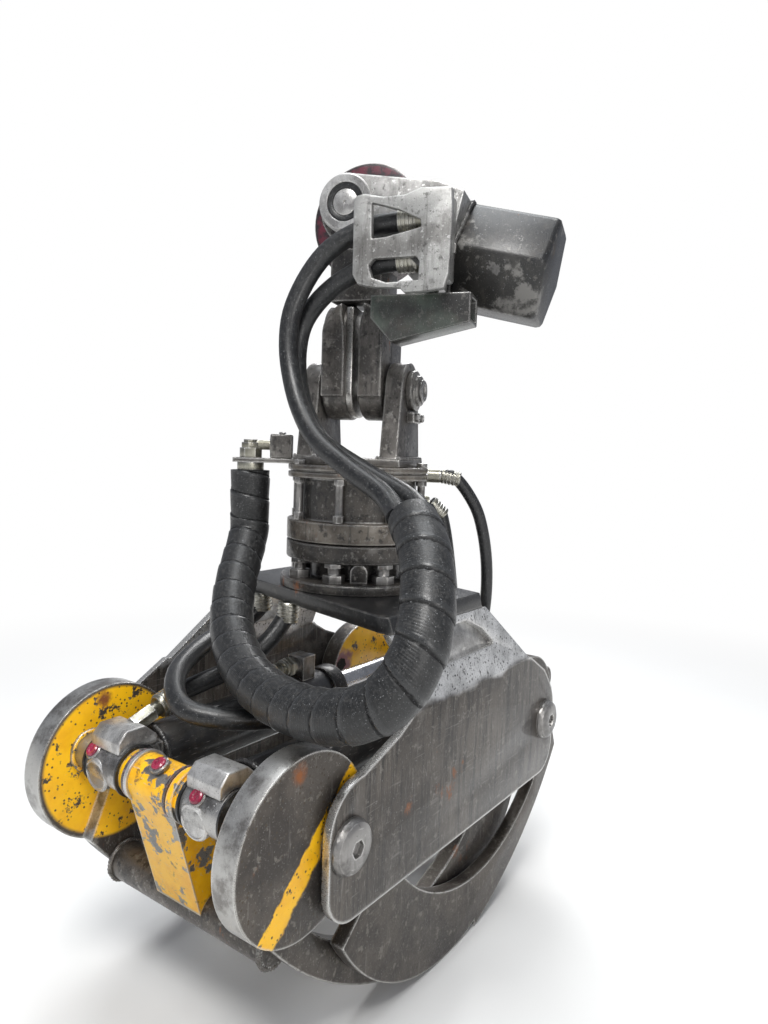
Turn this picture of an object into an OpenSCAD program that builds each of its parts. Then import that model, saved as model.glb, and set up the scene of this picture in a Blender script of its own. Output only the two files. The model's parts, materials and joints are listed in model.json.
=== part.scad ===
// Timber grapple with its rotator, swing link and boom tip, as it hangs from a loader crane.
// Drawn about the rotator's axis: X runs from the inner claw's pivot to the outer claw's pivot,
// Y runs away from the near side plate and Z up from the two claw pivots.
// The boom tip and the link are turned about Z, because the grapple hangs turned from the boom.
// Each node is moved at the end so that the middle of the boom tube's end face is the origin.

/* [Grapple frame] */
// Distance between the two claw pivots
pivot_gap = 640; // [560:10:720]
// Width over the side plates
frame_w = 508; // [480:4:560]
// Thickness of the side plates
plate_t = 12; // [8:1:14]
// Height of the bend between a side plate and its leaning shoulder
bend_z = 146; // [130:2:160]
// Height of the top plate's upper face
top_z = 288; // [270:2:310]
// Thickness of the top plate
top_t = 26; // [16:1:34]
// How far a shoulder leans inwards on its way up to the top plate's upper face
lean = 37; // [20:1:50]
// Bottom edge of the side plates below the pivots
plate_low = 112; // [100:2:125]
// Length of the top plate along a shoulder
top_l = 290; // [240:5:340]
// How far each end of the top plate runs askew
top_skew = 60; // [0:2:80]
// Radius of the pivot pins
pivot_r = 34; // [28:1:38]

/* [Claws] */
// Thickness of the round cheeks at the claw pivots
cheek_t = 40; // [30:1:44]
// Radius of the round cheeks
cheek_r = 125; // [110:1:130]
// Clearance between a cheek and the side plate
cheek_gap = 9; // [6:1:12]
// Thickness of the outer claw's arms
outer_arm_t = 24; // [18:1:28]
// Thickness of the inner claw's arms
inner_arm_t = 28; // [20:1:30]
// Clearance between the two claws' arms where they cross
arm_gap = 9; // [6:1:12]
// Radius of the claws' inside curve
claw_r = 331; // [320:1:345]
// Crank pin outboard of its pivot
crank_out = 105; // [95:1:112]
// Crank pin above its pivot
crank_up = 47; // [40:1:56]
// Radius of the crank pins
crank_r = 20; // [16:1:24]
// Radius of the crossbars between a claw's arms
bar_r = 30; // [24:1:34]

/* [Cylinders] */
// Distance of each cylinder from the middle plane
cyl_y = 110; // [104:1:114]
// Outside radius of the barrels
barrel_r = 46; // [40:1:50]
// Radius of the rods
rod_r = 26; // [20:1:30]
// Width of a cylinder's eye
eye_w = 76; // [64:1:80]
// Radius of a cylinder's eye
eye_r = 36; // [32:1:40]
// Base eye's centre to the open end of the barrel
barrel_l = 493; // [440:1:494]
// Length of the gland at the barrel's open end
gland_l = 38; // [24:1:50]
// Length of rod that stays inside with the claws closed
rod_inside = 73; // [50:1:100]

/* [Rotator] */
// Radius of the rotator's rings and flange
ring_r = 129; // [120:1:138]
// Underside of the stator's lower ring above the claw pivots
split_z = 374; // [366:1:380]
// Clearance between the rotor's ring and the stator's ring
split_gap = 2; // [1:0.5:4]
// Top of the stator's lower ring
ring_top_z = 410; // [402:1:420]
// Radius of the stator's body
stator_r = 108; // [96:1:109]
// Underside of the upper flange
flange_z = 485; // [470:1:490]
// Thickness of the upper flange
flange_t = 23; // [16:1:28]
// Radius of the rotor's shaft
shaft_r = 55; // [40:1:70]
// Distance from the rotator's axis to the hose drop
drop_r = 198; // [180:1:215]
// Direction of the hose drop, degrees from X
drop_a = 131; // [120:1:140]

/* [Link and boom tip] */
// Height of the lower link pin above the claw pivots
link_low_z = 645; // [625:1:665]
// Distance between the two link pins
link_l = 303; // [290:1:340]
// Turn of the boom tip and the link against the grapple, degrees
turn = 17.8; // [0:0.1:40]
// Dip of the boom tube towards the root, degrees
dip = 13; // [0:1:20]
// Radius of the lower link pin
low_pin_r = 24; // [18:1:30]
// Radius of the upper link pin
high_pin_r = 22; // [18:1:30]
// Clear width between the yoke's ears
yoke_in = 124; // [116:2:132]
// Thickness of a yoke ear
ear_t = 33; // [24:1:36]
// Clear width between the fork arms of the boom tip
fork_in = 144; // [140:2:152]
// Thickness of a fork arm
fork_t = 33; // [24:1:36]
// Distance of the boom tube's end from the upper pin
tube_end = 350; // [300:5:380]
// Corner radius of the six-sided boom tube
tube_r = 95; // [85:1:104]
// Drop of the boom tube's centre line below the upper pin
tube_drop = 32; // [10:1:50]

/* [Hoses] */
// Radius of the two main hoses
main_r = 16; // [12:1:20]
// Radius of the spiral wrap
wrap_r = 36; // [30:1:50]
// Radius of the thin hose
thin_r = 11; // [8:1:13]
// Radius of the cylinder hoses
cyl_hose_r = 16; // [12:1:18]

/* [Hidden] */
run = 0.05;                                   // running clearance of pins and shafts
px = pivot_gap / 2;                           // pivots at plus and minus px
plate_y = frame_w / 2;                        // outside face of a side plate
cheek_y1 = plate_y - plate_t - cheek_gap;     // outside face of a round cheek
cheek_y0 = cheek_y1 - cheek_t;                // inside face of a round cheek
outer_y0 = cheek_y1 - outer_arm_t;            // inside face of the outer claw's arm
inner_y1 = outer_y0 - arm_gap;                // outside face of the inner claw's arm
inner_y0 = inner_y1 - inner_arm_t;            // inside face of the inner claw's arm
crank_x = px + crank_out;                     // crank pins at plus and minus crank_x
under_z = top_z - top_t;                      // underside of the top plate
lean_a = atan(lean / (top_z - bend_z));       // lean of a shoulder from upright
shoulder_y = plate_y - (under_z - bend_z) * tan(lean_a);
foot_z = top_z;                               // the rotor's foot stands on the top plate
flange_top = flange_z + flange_t;
high_z = link_low_z + link_l;                 // upper link pin
eye_in = cyl_y - eye_w / 2;                   // eye face on the side of the middle plane
eye_out = cyl_y + eye_w / 2;                  // eye face on the side of the cheek
side_gap = 4;                                 // gap beside an eye for its seal ring
mid_y = eye_in - side_gap;                    // half the width of a claw's middle boss
sleeve_y = eye_out + side_gap;                // inner end of a crank sleeve
// the boom tube's end face, first about the upper pin and then in the grapple's axes
end_y = -tube_end * cos(dip) + tube_drop * sin(dip);
end_z = -tube_end * sin(dip) - tube_drop * cos(dip);
mount = [-end_y * sin(turn), end_y * cos(turn), high_z + end_z];
bit = 0.01;                                   // overshoot of cutters
fine = 96;
mid = 48;
black = "#23262a";
steel = "#6b6157";
yellow = "#d99a14";
silver = "#9b9da0";
zinc = "#b9bcc0";
rubber = "#18191b";
red = "#8e2a35";
chrome = "#c9cccf";
green = "#2d342f";

// a profile drawn in x and z, given thickness from y0 to y1
module slab(y0, y1) {
    translate([0, y1, 0]) rotate([90, 0, 0]) linear_extrude(height = y1 - y0) children();
}

// a round bar along Y from y0 to y1
module bar_y(r, y0, y1, n = mid) {
    translate([0, y0, 0]) rotate([-90, 0, 0]) cylinder(r = r, h = y1 - y0, $fn = n);
}

// a round bar along X from x0 to x1
module bar_x(r, x0, x1, n = mid) {
    translate([x0, 0, 0]) rotate([0, 90, 0]) cylinder(r = r, h = x1 - x0, $fn = n);
}

// the same thing on the near side and on the far side
module both_sides() {
    children();
    mirror([0, 1, 0]) children();
}

// the link's axes: origin on the upper pin, X along it, Z up
module link_axes() {
    translate([0, 0, high_z]) rotate([0, 0, turn]) children();
}

// the boom tip's axes: as the link's, with the boom running along -Y
module tip_axes() {
    link_axes() rotate([dip, 0, 0]) children();
}

// boom tip

head_y = 150;                                 // face of the head towards the link
head_back = 196;                              // face of the head towards the boom tube
head_low = 102;
head_high = 58;

module fork_profile() {
    boss_r = 48;
    circle(r = boss_r, $fn = fine);
    polygon([[8, boss_r - 1], [-head_y, head_high], [-head_back, head_high - 8],
        [-head_back, -head_low], [-head_y, -head_low], [-40, -30]]);
}

module tip_fork() color(black) tip_axes() difference() {
    union() {
        for (s = [0, 1]) mirror([s, 0, 0])
            translate([fork_in / 2, 0, 0]) rotate([90, 0, 90])
                linear_extrude(height = fork_t) fork_profile();
        translate([-fork_in / 2 - 1, -head_back, -head_low])
            cube([fork_in + 2, head_back - head_y, head_low + head_high - 8]);
    }
    bar_x(high_pin_r + run, -fork_in, fork_in);
}

module tip_tube() color(black) tip_axes()
    translate([0, -head_back, -tube_drop]) rotate([90, 0, 0])
        cylinder(r = tube_r, h = tube_end - head_back, $fn = 6);

guard_x = 153;                                // inside face of the guard plate
guard_t = 12;
guard_y = [-192, -20];
guard_z = [-150, 8];

module guard_outline(grow = 0) {
    offset(delta = grow) polygon([[guard_y[0], guard_z[0] + 18], [guard_y[0] + 18, guard_z[0]],
        [guard_y[1] - 12, guard_z[0]], [guard_y[1], guard_z[0] + 14],
        [guard_y[1], guard_z[1] - 10], [guard_y[1] - 12, guard_z[1]],
        [guard_y[0] + 14, guard_z[1]], [guard_y[0], guard_z[1] - 16]]);
}

module guard_windows() {
    polygon([[-56, -20], [-108, -20], [-98, -62], [-64, -58]]);
    translate([-96, -112]) square([60, 26], center = true);
    for (s = [-1, 1]) translate([-96 + 30 * s, -112]) circle(r = 13, $fn = mid);
}

module hose_guard() color(black) link_axes() difference() {
    union() {
        translate([-guard_x - guard_t, 0, 0]) rotate([90, 0, 90])
            linear_extrude(height = guard_t) difference() {
                guard_outline();
                guard_windows();
            }
        // the lip that stands the plate off the fork arm, along the top and the boom's side
        translate([-guard_x, 0, 0]) rotate([90, 0, 90])
            linear_extrude(height = guard_x - fork_in / 2 - fork_t) difference() {
                guard_outline();
                translate([18, -12]) guard_outline();
                translate([-guard_y[0] / 2 - 80, guard_z[0] - 60]) square([400, 60]);
            }
    }
}

module guard_fittings() color(zinc) link_axes()
    for (z = [-44, -106]) translate([-guard_x + 24, -150, z]) {
        rotate([90, 0, 0]) cylinder(r = 23.8, h = 22, $fn = 6);
        rotate([90, 0, 0]) translate([0, 0, -14]) cylinder(r = 19, h = 14, $fn = mid);
    }

module hose_chute() color(green) {
    link_axes() translate([-134, 0, 0]) rotate([90, 0, 90]) difference() {
        linear_extrude(height = 56)
            polygon([[-60, -160], [-226, -160], [-226, -206], [-96, -236], [-60, -196]]);
        translate([0, 0, 6]) linear_extrude(height = 44)
            polygon([[-66, -166], [-227, -166], [-227, -200], [-99, -230], [-66, -194]]);
    }
    // the lug that holds it under the fork's head
    tip_axes() translate([-fork_in / 2 - fork_t + 1, -head_back + 6, -head_low - 24])
        cube([22, 34, 24]);
}

module upper_pin() color(silver) tip_axes() {
    difference() {
        bar_x(high_pin_r, -fork_in / 2 - fork_t, fork_in / 2 + fork_t + 6);
        translate([-fork_in / 2 - fork_t - bit, 0, 0]) bar_x(5, 0, 12, 24);
    }
}

// link

link_gap = 5;                                 // side gap of the link's upper eye in the fork
cheek_slot = 8;                               // slot between the link's two lower cheeks
link_cheek_r = 54;
link_cheek_top = -150;
link_body_y = 48;                             // half the thickness of the link's body

module link_body() color(black) link_axes() difference() {
    union() {
        bar_x(60, -fork_in / 2 + link_gap, -6, fine);
        bar_x(60, -6 - bit, fork_in / 2 - link_gap, fine);
        translate([-46, -link_body_y, link_cheek_top])
            cube([92, 2 * link_body_y, -link_cheek_top]);
    }
    bar_x(high_pin_r + run, -fork_in, fork_in);
}

module brake_drum() color(red) link_axes() difference() {
    bar_x(88, 4, fork_in / 2 - link_gap, fine);
    bar_x(60, 0, fork_in, fine);
    translate([0, -link_body_y, -120]) cube([200, 2 * link_body_y, 120]);
}

module link_cheeks() color(black) link_axes() both_sides() difference() {
    translate([0, 0, -link_l]) {
        slab(cheek_slot / 2, yoke_in / 2 - link_gap) {
            circle(r = link_cheek_r, $fn = fine);
            translate([-link_cheek_r, 0]) square([2 * link_cheek_r, link_l + link_cheek_top]);
        }
        // a round pad that laps the link's body
        slab(link_body_y, yoke_in / 2 - link_gap) translate([0, link_l + link_cheek_top])
            circle(r = link_cheek_r, $fn = fine);
    }
    translate([0, 0, -link_l]) bar_y(low_pin_r + run, 0, yoke_in);
}

// rotator

cap_t = 20;

module lower_pin() color(silver) translate([0, 0, link_low_z]) rotate([0, 0, turn])
    bar_y(low_pin_r, -yoke_in / 2 - ear_t, yoke_in / 2 + ear_t);

module pin_caps() color(black) translate([0, 0, link_low_z]) rotate([0, 0, turn])
    both_sides() translate([0, yoke_in / 2 + ear_t, 0]) {
        bar_y(36, 0, cap_t * 0.6);
        bar_y(27, 0, cap_t);
    }

yoke_base_t = 14;

module yoke() color(black) rotate([0, 0, turn]) {
    both_sides() difference() {
        slab(yoke_in / 2, yoke_in / 2 + ear_t) {
            translate([0, link_low_z]) circle(r = 50, $fn = fine);
            polygon([[-50, link_low_z], [-70, flange_top + yoke_base_t - 1],
                [70, flange_top + yoke_base_t - 1], [50, link_low_z]]);
        }
        translate([0, 0, link_low_z]) bar_y(low_pin_r + run, 0, yoke_in);
    }
    translate([-74, -yoke_in / 2 - ear_t - 6, flange_top])
        cube([148, yoke_in + 2 * ear_t + 12, yoke_base_t]);
}

module stator_flange() color(steel) difference() {
    translate([0, 0, flange_z]) cylinder(r = ring_r, h = flange_t, $fn = fine);
    translate([0, 0, flange_z + flange_t / 2 - 1.5]) difference() {
        cylinder(r = ring_r + 1, h = 3, $fn = fine);
        translate([0, 0, -1]) cylinder(r = ring_r - 4, h = 5, $fn = fine);
    }
}

shaft_top = 442;

module stator_body() color(steel) difference() {
    translate([0, 0, ring_top_z]) cylinder(r = stator_r, h = flange_z - ring_top_z, $fn = fine);
    translate([0, 0, ring_top_z - 1]) cylinder(r = shaft_r + run, h = shaft_top - ring_top_z + 1,
        $fn = fine);
}

module stator_ring() color(steel) difference() {
    translate([0, 0, split_z]) cylinder(r = ring_r, h = ring_top_z - split_z, $fn = fine);
    translate([0, 0, split_z - 1]) cylinder(r = shaft_r + run, h = 80, $fn = fine);
}

bolt_ring_r = 119;

module tie_bolts() color(silver) for (i = [0:7]) rotate([0, 0, 22.5 + 45 * i])
    translate([bolt_ring_r, 0, ring_top_z]) {
        cylinder(r = 7, h = flange_z - ring_top_z, $fn = 24);
        cylinder(r = 10, h = 13, $fn = 6);
        translate([0, 0, flange_z - ring_top_z - 10]) cylinder(r = 10, h = 10, $fn = 6);
    }

bracket_t = 8;

module hose_bracket() color(black) difference() {
    rotate([0, 0, drop_a]) translate([0, -24, flange_top]) cube([drop_r + 30, 48, bracket_t]);
    translate([0, 0, flange_top - 1]) cylinder(r = ring_r - 25, h = bracket_t + 2, $fn = fine);
    rotate([0, 0, turn]) translate([-75, -yoke_in / 2 - ear_t - 7, flange_top - 1])
        cube([150, yoke_in + 2 * ear_t + 14, bracket_t + 2]);
    rotate([0, 0, drop_a]) translate([drop_r, 0, 0]) cylinder(r = 14, h = 600, $fn = mid);
}

module manifold() color(black) rotate([0, 0, drop_a]) {
    translate([ring_r - 7, -22, flange_top + bracket_t]) cube([40, 44, 44]);
}

drop_low = 494;

module drop_fittings() color(zinc) rotate([0, 0, drop_a]) translate([drop_r, 0, 0]) {
    translate([0, 0, drop_low]) cylinder(r = 24, h = flange_top - drop_low, $fn = mid);
    translate([0, 0, flange_top]) cylinder(r = 14 - run, h = bracket_t + 1, $fn = mid);
    translate([0, 0, flange_top + bracket_t]) cylinder(r = 20, h = 18, $fn = 6);
    translate([0, 0, flange_top + bracket_t + 17]) cylinder(r = 13, h = 16, $fn = mid);
    translate([0, 0, flange_top + bracket_t + 24]) rotate([0, -90, 0])
        cylinder(r = 9, h = drop_r - ring_r - 33, $fn = mid);
}

foot_neck_r = 84;

module thin_fittings() color(zinc) difference() {
    for (c = [[-59, flange_z + 9.5, 152], [-46, ring_top_z + 34, 134]]) rotate([0, 0, c[0]])
        translate([0, 0, c[1]]) bar_x(13, stator_r - 10, c[2]);
    translate([0, 0, ring_top_z]) cylinder(r = stator_r, h = flange_z - ring_top_z, $fn = fine);
    translate([0, 0, flange_z]) cylinder(r = ring_r, h = flange_t, $fn = fine);
}

module rotor() color(steel) {
    translate([0, 0, foot_z]) cylinder(r = ring_r + 10, h = 18, $fn = fine);
    translate([0, 0, foot_z + 17]) cylinder(r = foot_neck_r, h = 36, $fn = fine);
    translate([0, 0, foot_z + 52]) cylinder(r = ring_r, h = split_z - split_gap - foot_z - 52,
        $fn = fine);
    translate([0, 0, split_z - split_gap - 1]) cylinder(r = shaft_r, h = shaft_top - split_z - 2,
        $fn = fine);
}

module mounting_bolts() color(silver) for (i = [0:7]) rotate([0, 0, 18.5 + 45 * i])
    translate([ring_r - 18, 0, foot_z + 18]) {
        cylinder(r = 20, h = 14, $fn = 6);
        cylinder(r = 11, h = 26, $fn = 24);
        translate([0, 0, 26]) cylinder(r = 17, h = 8, $fn = 6);
    }

module port_plug() color(steel) difference() {
    rotate([0, 0, 221]) translate([foot_neck_r - 6, 0, foot_z + 36]) {
        rotate([0, 90, 0]) cylinder(r = 15, h = 32, $fn = mid);
        translate([-4, -15, -18]) cube([36, 30, 18]);
    }
    translate([0, 0, foot_z]) cylinder(r = foot_neck_r, h = 60, $fn = fine);
}

// grapple frame

module top_outline() {
    near = shoulder_y + 6;
    x0 = -top_l / 2 - top_skew;
    x1 = top_l / 2 - top_skew;
    corner = 26;
    for (s = [0, 180]) rotate(s) {
        translate([x0 + corner + 8, -near + corner]) circle(r = corner, $fn = mid);
        polygon([[x0 + 8, -near + corner], [x0 + 8 + corner, -near], [x1, -near], [0, 0],
            [-x1, near]]);
    }
}

module top_plate() color(black) intersection() {
    translate([0, 0, under_z]) linear_extrude(height = top_t) top_outline();
    rotate([90, 0, 90]) translate([0, 0, -400]) linear_extrude(height = 800)
        polygon([[-shoulder_y, under_z - 1], [-shoulder_y, under_z], [lean - plate_y, top_z + bit],
            [plate_y - lean, top_z + bit], [shoulder_y, under_z], [shoulder_y, under_z - 1]]);
}

lobe_r = 72;                                  // round of the plate about a pivot
lobe_in = 30;                                 // centre of that round inboard of the pivot

module side_profile() {
    for (s = [-1, 1]) {
        translate([s * (px - lobe_in), 18]) circle(r = lobe_r, $fn = fine);
        translate([s * (px + lobe_r - lobe_in - 55), 55 - plate_low]) circle(r = 55, $fn = fine);
    }
    edge = px + lobe_r - lobe_in;
    polygon([[-edge, 18], [-edge, 55 - plate_low], [55 - edge, -plate_low],
        [edge - 55, -plate_low], [edge, 55 - plate_low], [edge, 18], [px + 30, 60],
        [px - 8, 104], [240, bend_z], [-166, bend_z], [-172, 140], [-205, 121], [-290, 90]]);
}

shoulder_s = (under_z - bend_z) / cos(lean_a) + 12;

module shoulder_profile() {
    polygon([[-158, 0], [-168, 60], [-top_l / 2 - top_skew, shoulder_s],
        [top_l / 2 - top_skew, shoulder_s], [108, 112], [232, 0]]);
}

module pocket_profile(grow = 0) {
    offset(r = 5 + grow, $fn = mid)
        polygon([[-56, 54], [98, 56], [72, 80], [26, 102], [-42, 101]]);
}

// puts a profile into the plane of the near shoulder, from depth t0 to depth t1 inwards
module on_shoulder(t0, t1) {
    translate([0, -plate_y, bend_z]) rotate([90 - lean_a, 0, 0])
        translate([0, 0, -t1]) linear_extrude(height = t1 - t0) children();
}

module near_side() difference() {
    union() {
        slab(-plate_y, plate_t - plate_y) side_profile();
        on_shoulder(0, plate_t) shoulder_profile();
    }
    on_shoulder(-1, plate_t + 1) pocket_profile();
    translate([-500, -400, under_z]) cube([1000, 400, 100]);
    for (s = [-1, 1]) translate([s * px, 0, 0]) bar_y(pivot_r, -plate_y - 1, -plate_y + plate_t + 1);
}

module side_plates() color(steel) for (a = [0, 180]) rotate([0, 0, a]) near_side();

module pocket_liners() color(silver) for (a = [0, 180]) rotate([0, 0, a])
    on_shoulder(plate_t, plate_t + 8) pocket_profile(9);

module pivot_pins() color(silver) for (s = [-1, 1]) both_sides() translate([s * px, 0, 0]) {
    difference() {
        union() {
            bar_y(pivot_r, cheek_y0, plate_y + 1);
            translate([0, plate_y, 0]) rotate([-90, 0, 0]) rotate_extrude($fn = fine)
                polygon([[0, 0], [39, 0], [39, 5], [35, 12], [26, 16], [0, 16]]);
        }
        translate([0, plate_y + 8, 0]) bar_y(13, 0, 12, 6);
    }
}

// claws, both drawn as the outer claw on its pivot at plus px

// centres and radii of the arcs that bound an arm, about the rotator's axis
claw_c = [95, 93];
back_c = [-108, 300];
back_r = 671;
tip_c = [0, 8];
tip_r = 349;
tip_cut = [[191, -73], [301, -169]];          // ends of an arm's cut tip

module arm_profile() {
    difference() {
        intersection() {
            translate(back_c) circle(r = back_r, $fn = 180);
            union() {
                translate(tip_c) circle(r = tip_r, $fn = 180);
                translate([95, -400]) square([400, 400]);
            }
            polygon([[-tip_cut[0][0], tip_cut[0][1]], [-tip_cut[1][0], tip_cut[1][1]],
                [-tip_cut[1][0], -420], [480, -420], [px + 122, -110], [px + 92, -40], [200, -30]]);
        }
        translate(claw_c) circle(r = claw_r, $fn = 180);
    }
    polygon([[px + 4, -40], [px + 12, -150], [px + 52, -120], [px + 92, -40], [px + 76, 0]]);
}

module cheek_profile() {
    translate([px + 65, 18]) circle(r = cheek_r, $fn = fine);
}

// the outer claw's cheek lies inboard, and a thinner lobe carries its crank
module inboard_cheek_profile() {
    translate([px - 30, 22]) circle(r = 0.87 * cheek_r, $fn = fine);
}

module lobe_profile() {
    translate([crank_x, crank_up]) circle(r = 30, $fn = fine);
    polygon([[px + 30, -60], [crank_x + 12, crank_up - 27], [crank_x + 3, crank_up + 29.8],
        [px + 10, 104]]);
}

module arm_pair(y0, y1, outboard = true) {
    both_sides() difference() {
        union() {
            slab(y0, y1) arm_profile();
            if (outboard) slab(cheek_y0, cheek_y1) cheek_profile();
            else {
                slab(cheek_y0, cheek_y1) inboard_cheek_profile();
                slab(cheek_y0, cheek_y0 + 0.4 * cheek_t) lobe_profile();
            }
        }
        translate([px, 0, 0]) bar_y(pivot_r + run, cheek_y0 - 60, cheek_y1 + 1);
    }
}

module crossbar(y1) {
    translate([px + 52, 0, -150]) bar_y(bar_r, -y1, y1);
}

module crank_boss(bore) {
    difference() {
        union() {
            translate([crank_x, 0, crank_up]) bar_y(34, -mid_y, mid_y);
            slab(-mid_y + 18, mid_y - 18) polygon([[crank_x - 30, crank_up - 12],
                [px + 25, -152], [px + 79, -152], [crank_x + 30, crank_up - 12]]);
        }
        if (bore) translate([crank_x, 0, crank_up]) bar_y(crank_r, -mid_y - 1, mid_y + 1);
        translate([px + 52, 0, -150]) bar_y(bar_r, -mid_y, mid_y);
    }
}

module sleeves(bore) {
    both_sides() translate([crank_x, 0, crank_up]) difference() {
        bar_y(29, sleeve_y, cheek_y0);
        if (bore) bar_y(crank_r, sleeve_y - 1, cheek_y0 + 1);
    }
}

module outer_arms() color(steel) arm_pair(outer_y0, cheek_y1, false);
module outer_crossbar() color(steel) crossbar(outer_y0);
module outer_crank() color(yellow) crank_boss(false);
module outer_sleeves() color(silver) sleeves(false);

module inner_arms() color(steel) mirror([1, 0, 0]) arm_pair(inner_y0, inner_y1);
module inner_crossbar() color(steel) mirror([1, 0, 0]) crossbar(inner_y0);
module inner_crank() color(yellow) mirror([1, 0, 0]) crank_boss(true);
module inner_sleeves() color(yellow) mirror([1, 0, 0]) sleeves(true);

module inner_blade() color(steel) slab(-inner_y0, inner_y0)
    polygon([tip_cut[0], tip_cut[1], tip_cut[1] - [12, 14], tip_cut[0] - [12, 14]]);

module inner_crank_pin() color(silver)
    translate([-crank_x, 0, crank_up]) bar_y(crank_r, -cheek_y0, cheek_y0);

module crank_seals() color(rubber) translate([-crank_x, 0, crank_up]) both_sides()
    for (y = [mid_y, eye_out + 0.5]) difference() {
        bar_y(39, y, y + side_gap - 0.5);
        bar_y(crank_r, y - 1, y + side_gap);
    }

// cylinders

barrel_end = barrel_l - crank_x;              // open end of the gland
rod_eye_x = crank_x;

module barrels() color(black) both_sides() translate([0, cyl_y, crank_up]) difference() {
    union() {
        translate([-crank_x, 0, 0]) bar_y(eye_r, -eye_w / 2, eye_w / 2, fine);
        translate([-crank_x, -eye_w / 2 + 6, -28]) cube([70, eye_w - 12, 56]);
        bar_x(barrel_r, -crank_x + 52, barrel_end - gland_l, fine);
    }
    translate([-crank_x, 0, 0]) bar_y(crank_r + run, -eye_w, eye_w, fine);
    bar_x(rod_r + run, -crank_x + 80, barrel_end);
}

module glands() color(steel) both_sides() translate([0, cyl_y, crank_up]) difference() {
    bar_x(barrel_r + 4, barrel_end - gland_l, barrel_end, fine);
    bar_x(rod_r + run, barrel_end - gland_l - 1, barrel_end + 1);
}

port_x = -crank_x - 28;
port_l = 70;                                  // length of a port block
port_low = 29;                                // its underside over the cylinder axis
port_h = 33;

module rod_end_ports() color(silver) both_sides() translate([0, cyl_y, crank_up])
    difference() {
        union() {
            translate([barrel_end - gland_l - 68, -20, 30]) cube([34, 40, 58]);
            translate([0, 0, 70]) bar_x(15, barrel_end - gland_l - 86, barrel_end - gland_l - 67);
        }
        bar_x(barrel_r, -crank_x + 52, barrel_end, fine);
    }

module port_blocks() color(silver) both_sides() translate([0, cyl_y, crank_up])
    difference() {
        translate([port_x, 0, port_low]) slab(-34, 34) polygon([[0, 0], [0, port_h - 15],
            [14, port_h], [port_l - 22, port_h], [port_l, port_h - 20], [port_l, 0]]);
        translate([-crank_x, 0, 0]) bar_y(eye_r + 0.5, -eye_w, eye_w, fine);
        bar_x(barrel_r, -crank_x + 52, 0, fine);
    }

module hose_ferrules() color(zinc) difference() {
    translate([port_x + 48, cyl_y, crank_up + 53]) rotate([0, 70, 0]) {
        cylinder(r = 15, h = 38, $fn = 6);
        cylinder(r = 12, h = 58, $fn = mid);
    }
    translate([port_x, 0, crank_up + port_low]) slab(cyl_y - 34, cyl_y + 34)
        polygon([[0, 0], [0, port_h], [port_l - 22, port_h], [port_l, port_h - 20], [port_l, 0]]);
}

module rods() color(chrome) both_sides() translate([0, cyl_y, crank_up])
    bar_x(rod_r, barrel_end - rod_inside, rod_eye_x - eye_r + 4);

module rod_eyes() color(silver) both_sides() translate([0, cyl_y, crank_up]) difference() {
    union() {
        translate([rod_eye_x, 0, 0]) bar_y(eye_r, -eye_w / 2, eye_w / 2, fine);
        bar_x(rod_r + 5, rod_eye_x - eye_r - 6, rod_eye_x);
    }
    bar_x(rod_r, rod_eye_x - eye_r - 7, rod_eye_x - eye_r + 4);
}

// hoses: points chosen by hand, joined by smooth curves

function unit(v) = v / norm(v);
function curve(a, b, c, d, t) = 0.5 * (2 * b + (c - a) * t + (2 * a - 5 * b + 4 * c - d) * t * t
    + (3 * b - a - 3 * c + d) * t * t * t);
function smooth(p, k) = let (n = len(p) - 1)
    [for (i = [0:n - 1], j = [0:k - 1]) curve(p[max(i - 1, 0)], p[i], p[i + 1], p[min(i + 2, n)],
        j / k), p[n]];

// a tube of radius r along the points, seen from the direction side to set its rings
module tube(points, r, side, k = 2, sides = 12) {
    p = smooth(points, k);
    n = len(p) - 1;
    ring = [for (i = [0:n]) let (t = unit(p[min(i + 1, n)] - p[max(i - 1, 0)]),
        u = unit(cross(t, side)), v = cross(t, u))
        for (j = [0:sides - 1]) p[i] + r * (cos(360 * j / sides) * u + sin(360 * j / sides) * v)];
    polyhedron(points = ring, faces = concat([[for (j = [0:sides - 1]) j]],
        [for (i = [0:n - 1], j = [0:sides - 1]) let (a = i * sides + j,
            b = i * sides + (j + 1) % sides) [a, a + sides, b]],
        [for (i = [0:n - 1], j = [0:sides - 1]) let (a = i * sides + j,
            b = i * sides + (j + 1) % sides) [b, a + sides, b + sides]],
        [[for (j = [0:sides - 1]) n * sides + sides - 1 - j]]), convexity = 10);
}

module main_hoses() color(rubber) link_axes() {
    tube([[-129, -135.3, -44], [-130, -60, -50], [-138, 20, -92], [-154, 70, -190],
        [-176, 56, -300], [-222, -12, -400], [-276, -136, -472], [-322.3, -177, -503]],
        main_r, [1, 0, 0]);
    tube([[-129, -135, -106], [-130, -66, -112], [-127, 6, -142], [-118, 66, -204],
        [-138, 62, -304], [-184, -6, -403], [-246, -164, -476], [-301.3, -211, -503]],
        main_r, [1, 0, 0]);
}

module hose_wrap() color(rubber)
    tube([[-129.9, 149.4, 493.3], [-129.9, 149.4, 430], [-133, 147.5, 376], [-195, 108, 312],
        [-245, 66, 264], [-292, 6, 222], [-335, -78, 196], [-368, -180, 190],
        [-386, -280, 204], [-382, -352, 240], [-356, -378, 300], [-320, -364, 360],
        [-278, -328, 412], [-240, -284, 442]],
        wrap_r, [1, 0, 0]);

module thin_hose() color(rubber)
    tube([[79, -133, 494.5], [92, -156, 490], [126, -184, 430], [150, -194, 340], [165, -188, 250],
        [172, -172, 190], [166, -150, 170], [152, -134, 190], [138, -130, 270], [124, -124, 360],
        [112, -114, 424], [97, -101, 442]],
        thin_r, [1, 1, 0]);

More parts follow.
